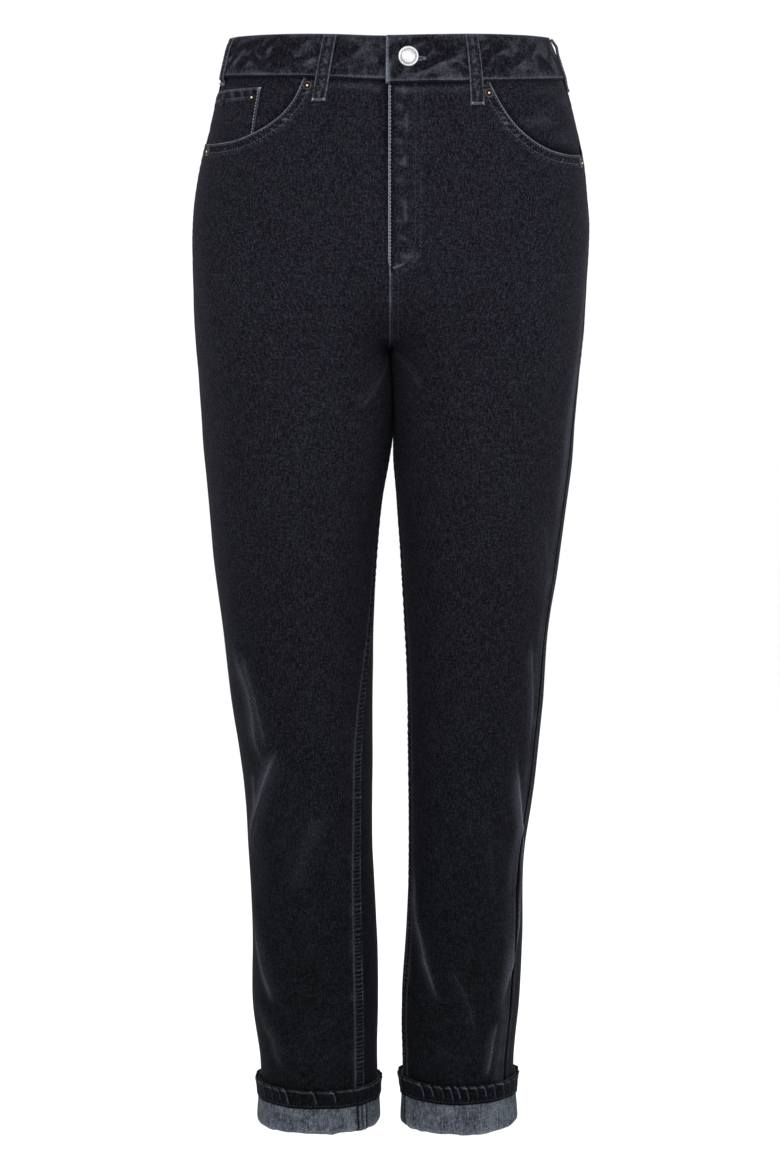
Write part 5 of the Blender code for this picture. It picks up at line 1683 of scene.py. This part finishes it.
def stitchTree(material):
    tree, given, made = newTree("stitches", ("Length", "Float"), ("Width", "Float"), ("Height", "Float"),
                                ("Seed", "Int"))
    new, link = tree.nodes.new, tree.links.new
    bead = new("GeometryNodeMeshUVSphere")
    bead.inputs["Segments"].default_value = 6
    bead.inputs["Rings"].default_value = 4
    bead.inputs["Radius"].default_value = 0.5
    size = new("ShaderNodeCombineXYZ")
    for axis, label in zip("XYZ", ("Length", "Width", "Height")):
        link(given.outputs[label], size.inputs[axis])
    shaped = new("GeometryNodeTransform")
    link(bead.outputs["Mesh"], shaped.inputs["Geometry"])
    link(size.outputs[0], shaped.inputs["Scale"])
    vary = new("FunctionNodeRandomValue")
    vary.data_type = "FLOAT"
    vary.inputs["Min"].default_value = 0.84
    vary.inputs["Max"].default_value = 1.10
    link(given.outputs["Seed"], vary.inputs["Seed"])
    scale = [s for s in vary.outputs if s.type == "VALUE" and s.enabled][0]
    turned = alignNode(tree, "away", "Z", "X", alignNode(tree, "along", "X"))
    real = copiesNode(tree, given.outputs["Geometry"], shaped.outputs[0], turned, scale)
    link(finishNode(tree, real, material), made.inputs[0])
    return tree


def applyTree(name, carrier, tree, values, material):
    modifier = carrier.modifiers.new("nodes", "NODES")
    modifier.node_group = tree
    sockets = {item.name: item.identifier for item in tree.interface.items_tree if item.in_out == "INPUT"}
    for label, value in values.items():
        modifier[sockets[label]] = value
    mesh = bpy.data.meshes.new_from_object(carrier.evaluated_get(bpy.context.evaluated_depsgraph_get()))
    carrier.modifiers.clear()
    bpy.data.objects.remove(carrier)
    mesh.name = name
    for label in ("along", "away", "part"):
        if label in mesh.attributes:
            mesh.attributes.remove(mesh.attributes[label])
    if not mesh.materials:
        mesh.materials.append(material)
    mesh.shade_smooth()
    return addObject(name, mesh)


def pointCarrier(name, places, **vectors):
    mesh = bpy.data.meshes.new(name)
    mesh.from_pydata(places.tolist(), [], [])
    for label, values in vectors.items():
        layer = mesh.attributes.new(label, "FLOAT_VECTOR", "POINT")
        layer.data.foreach_set("vector", values.astype(np.float32).ravel())
    return addObject(name, mesh)


def makeStitches(thread, material, seed):
    places, along, away = [np.concatenate(parts) for parts in zip(*sewing["rows"][thread])]
    carrier = pointCarrier("rows", places, along=along, away=away)
    values = {"Length": sewing["length"], "Width": sewing["width"], "Height": sewing["height"], "Seed": seed}
    obj = applyTree("stitches" + thread.capitalize(), carrier, stitchTree(material), values, material)
    stand(obj, "denim")
    print(obj.name, len(places), "stitches")


makeStitches("dark", darkThread, 4)
makeStitches("grey", greyThread, 9)
makeStitches("pale", paleThread, 13)


# Metal: turned profiles, top of the axis first

def turnedMesh(name, profile, steps, materials, parts):
    mesh = bpy.data.meshes.new(name)
    shell = bmesh.new()
    part = shell.faces.layers.int.new("part")
    rings = []
    for radius, height in profile:
        angles = np.linspace(0, 2 * pi, steps, endpoint=False) if radius else [0]
        rings.append([shell.verts.new((radius * np.cos(a), radius * np.sin(a), height)) for a in angles])
    for k, (upper, lower) in enumerate(zip(rings, rings[1:])):
        for i in range(steps):
            j = (i + 1) % steps
            corners = [upper[i % len(upper)], lower[i % len(lower)]]
            corners += [lower[j % len(lower)], upper[j % len(upper)]]
            corners = list(dict.fromkeys(corners))
            if len(corners) > 2:
                face = shell.faces.new(corners)
                face[part] = parts[k] if k < len(parts) else parts[-1]
                face.material_index = face[part]
    bmesh.ops.recalc_face_normals(shell, faces=shell.faces)
    shell.to_mesh(mesh)
    shell.free()
    for material in materials:
        mesh.materials.append(material)
    mesh.shade_smooth()
    return mesh


# The button's profile runs from the middle of its face to its shank: share of the radius, and height
button = {
    "radius": 0.0093, "x": 0.0163, "z": -0.0011,
    "profile": (
        (0, 0.0028), (0.10, 0.0028), (0.17, 0.00275), (0.24, 0.0027), (0.30, 0.0027), (0.36, 0.0028),
        (0.42, 0.0024), (0.52, 0.0024), (0.57, 0.0028), (0.63, 0.0028), (0.68, 0.0024), (0.76, 0.0025),
        (0.82, 0.0033), (0.88, 0.0037), (0.94, 0.0034), (0.985, 0.0027), (1, 0.0020), (0.985, 0.0015),
        (0.92, 0.0011), (0.60, 0.0009), (0.42, 0.0007), (0.40, 0), (0, 0),
    ),
    "parts": (0, 0, 0, 0, 0, 0, 0, 1, 0, 1, 1, 0),   # 1 is a groove, in darker silver: painted shade
}


def makeButton():
    r = button["radius"]
    profile = [(share * r, height) for share, height in button["profile"]]
    mesh = turnedMesh("waistButton", profile, 72, (silver, grooveShadeSilver), button["parts"])
    for v in mesh.vertices:   # a plain ring of dots and slightly uneven stamping
        radius, angle = v.co.xy.length, np.arctan2(v.co.y, v.co.x)
        if 0.40 * r < radius < 0.78 * r and v.co.z > 0.002:
            v.co.z += 0.00018 * np.sin(angle * 18) * bell(radius - 0.70 * r, 0.06 * r)
        v.co.z += 0.00005 * np.sin(angle * 3 + radius * 900)
    phi = phiAt(left, button["x"], button["z"])
    seat(mesh, left, phi, button["z"], band["out"] + band["lap"] + cloth["gap"])
    stand(addObject("waistButton", mesh), "button_metal", "waist_button")


def seat(mesh, side, phi, z, out):
    normal = Vector(outward(side, np.array(phi), np.array(z)))
    place = Vector(raised(side, np.array(phi), np.array(z), out))
    turn = normal.to_track_quat("Z", "Y").to_matrix().to_4x4()
    turn.translation = place
    mesh.transform(turn)


rivets = {
    "radius": 0.0043,
    "places": {
        "pocket_right": (right, 0.0740, -0.0262), "pocket_left": (left, 0.0883, -0.0330),
        "side_right": (right, 0.1655, -0.0862), "side_left": (left, 0.1742, -0.0965),
        "coin_inner": (right, 0.1240, -0.0370), "coin_outer": (right, 0.1520, -0.0405),
    },
    "profile": ((0, 0.0021), (0.14, 0.0020), (0.25, 0.0015), (0.32, 0.0008), (0.46, 0.0007), (0.62, 0.0011),
                (0.74, 0.0013), (0.90, 0.0011), (1, 0.0004), (0.97, 0), (0, 0)),
    "parts": (0, 0, 1, 1, 1, 1, 2),   # bright middle, dark groove, copper rim
}


def rivetTree(source, materials):
    tree, given, made = newTree("rivets", ("Size", "Float"))
    new, link = tree.nodes.new, tree.links.new
    shape = new("GeometryNodeObjectInfo")
    shape.inputs["Object"].default_value = source
    points, turned = given.outputs["Geometry"], alignNode(tree, "away", "Z")
    real = copiesNode(tree, points, shape.outputs["Geometry"], turned, given.outputs["Size"])
    part = new("GeometryNodeInputNamedAttribute")
    part.data_type = "INT"
    part.inputs["Name"].default_value = "part"
    for k, material in enumerate(materials):
        same = new("FunctionNodeCompare")
        same.data_type, same.operation = "INT", "EQUAL"
        first, second = [s for s in same.inputs if s.enabled]
        link([s for s in part.outputs if s.enabled][0], first)
        second.default_value = k
        real = finishNode(tree, real, material, same.outputs[0])
    link(real, made.inputs[0])
    return tree


def makeRivets():
    r = rivets["radius"]
    metals = (bright, darkMetal, copper)
    profile = [(share * r, height) for share, height in rivets["profile"]]
    source = addObject("rivetShape", turnedMesh("rivetShape", profile, 28, metals, rivets["parts"]))
    places, normals = [], []
    for side, x, z in rivets["places"].values():
        phi, z = np.array(phiAt(side, x, z)), np.array(z)
        lift = max(0.0, float(surfaceField(side, phi, z)[0]))
        places.append(raised(side, phi, z, cloth["gap"] * 0.5 + lift))
        normals.append(outward(side, phi, z))
    carrier = pointCarrier("rivetPlaces", np.array(places), away=np.array(normals))
    obj = applyTree("rivets", carrier, rivetTree(source, metals), {"Size": 1.0}, copper)
    bpy.data.objects.remove(source)
    for face in obj.data.polygons:
        if face.center.x < -0.10 and face.center.z > -0.06:   # on the coin pocket, the outer one worn dull
            if face.material_index == 2 or face.center.x < -0.14:
                face.material_index = 1
    stand(obj, "rivet_metal", *["rivet_" + name for name in rivets["places"]])


makeButton()
makeRivets()
print("button and rivets made")


# Studio

studio = {
    "floor": -1.34, "front": -10.0, "wall": 6.0, "top": 7.0, "half": 12.0, "bend": 1.4, "world": 0.95,
    "paper": (0.97, 0.97, 0.97), "camera": (0.0, -3.3, -0.038), "tilt": 7.8, "lens": 109.2,
    "aim": (0, 0, -0.45),
    "lamps": {   # place, side of the square, power in watts
        "key": ((-0.8, -3.2, 1.9), 1.6, 50),
        "fill": ((2.4, -2.2, 0.4), 2.0, 28),
        "rim": ((0.6, 2.4, 1.8), 2.0, 30),
    },
}


def makeBackdrop():
    shell = bmesh.new()
    bend, start = studio["bend"], studio["wall"] - studio["bend"]
    turns = np.linspace(0, pi / 2, 13)
    curve = [(start + bend * np.sin(a), studio["floor"] + bend * (1 - np.cos(a))) for a in turns]
    profile = [(studio["front"], studio["floor"]), *curve, (studio["wall"], studio["top"])]
    rows = [[shell.verts.new((x, y, z)) for x in (-studio["half"], studio["half"])] for y, z in profile]
    for a, b in zip(rows, rows[1:]):
        shell.faces.new((a[0], a[1], b[1], b[0]))
    mesh = bpy.data.meshes.new("backdrop")
    shell.to_mesh(mesh)
    shell.free()
    mesh.shade_smooth()
    paper, _, shader = newMaterial("paper")
    shader.inputs["Base Color"].default_value = (*studio["paper"], 1)
    shader.inputs["Roughness"].default_value = 0.9
    mesh.materials.append(paper)
    addObject("backdrop", mesh)


def makeLight():
    world = bpy.data.worlds.new("studio")
    world.use_nodes = True
    world.node_tree.nodes["Background"].inputs["Color"].default_value = (1, 1, 1, 1)
    world.node_tree.nodes["Background"].inputs["Strength"].default_value = studio["world"]
    bpy.context.scene.world = world
    for name, (place, size, power) in studio["lamps"].items():
        lamp = bpy.data.lights.new(name, "AREA")
        lamp.shape, lamp.size, lamp.energy = "SQUARE", size, power
        obj = addObject(name, lamp)
        obj.location = place
        obj.rotation_euler = (Vector(studio["aim"]) - Vector(place)).to_track_quat("-Z", "Y").to_euler()


def makeCamera():
    camera = bpy.data.cameras.new("camera")
    camera.lens, camera.sensor_width = studio["lens"], 36
    camera.clip_start, camera.clip_end = 0.1, 50
    obj = addObject("camera", camera)
    obj.location = studio["camera"]
    obj.rotation_euler = (radians(90 - studio["tilt"]), 0, 0)
    bpy.context.scene.camera = obj
    bpy.context.scene.view_settings.view_transform = "Standard"


makeBackdrop()
makeLight()
makeCamera()
print("studio made")
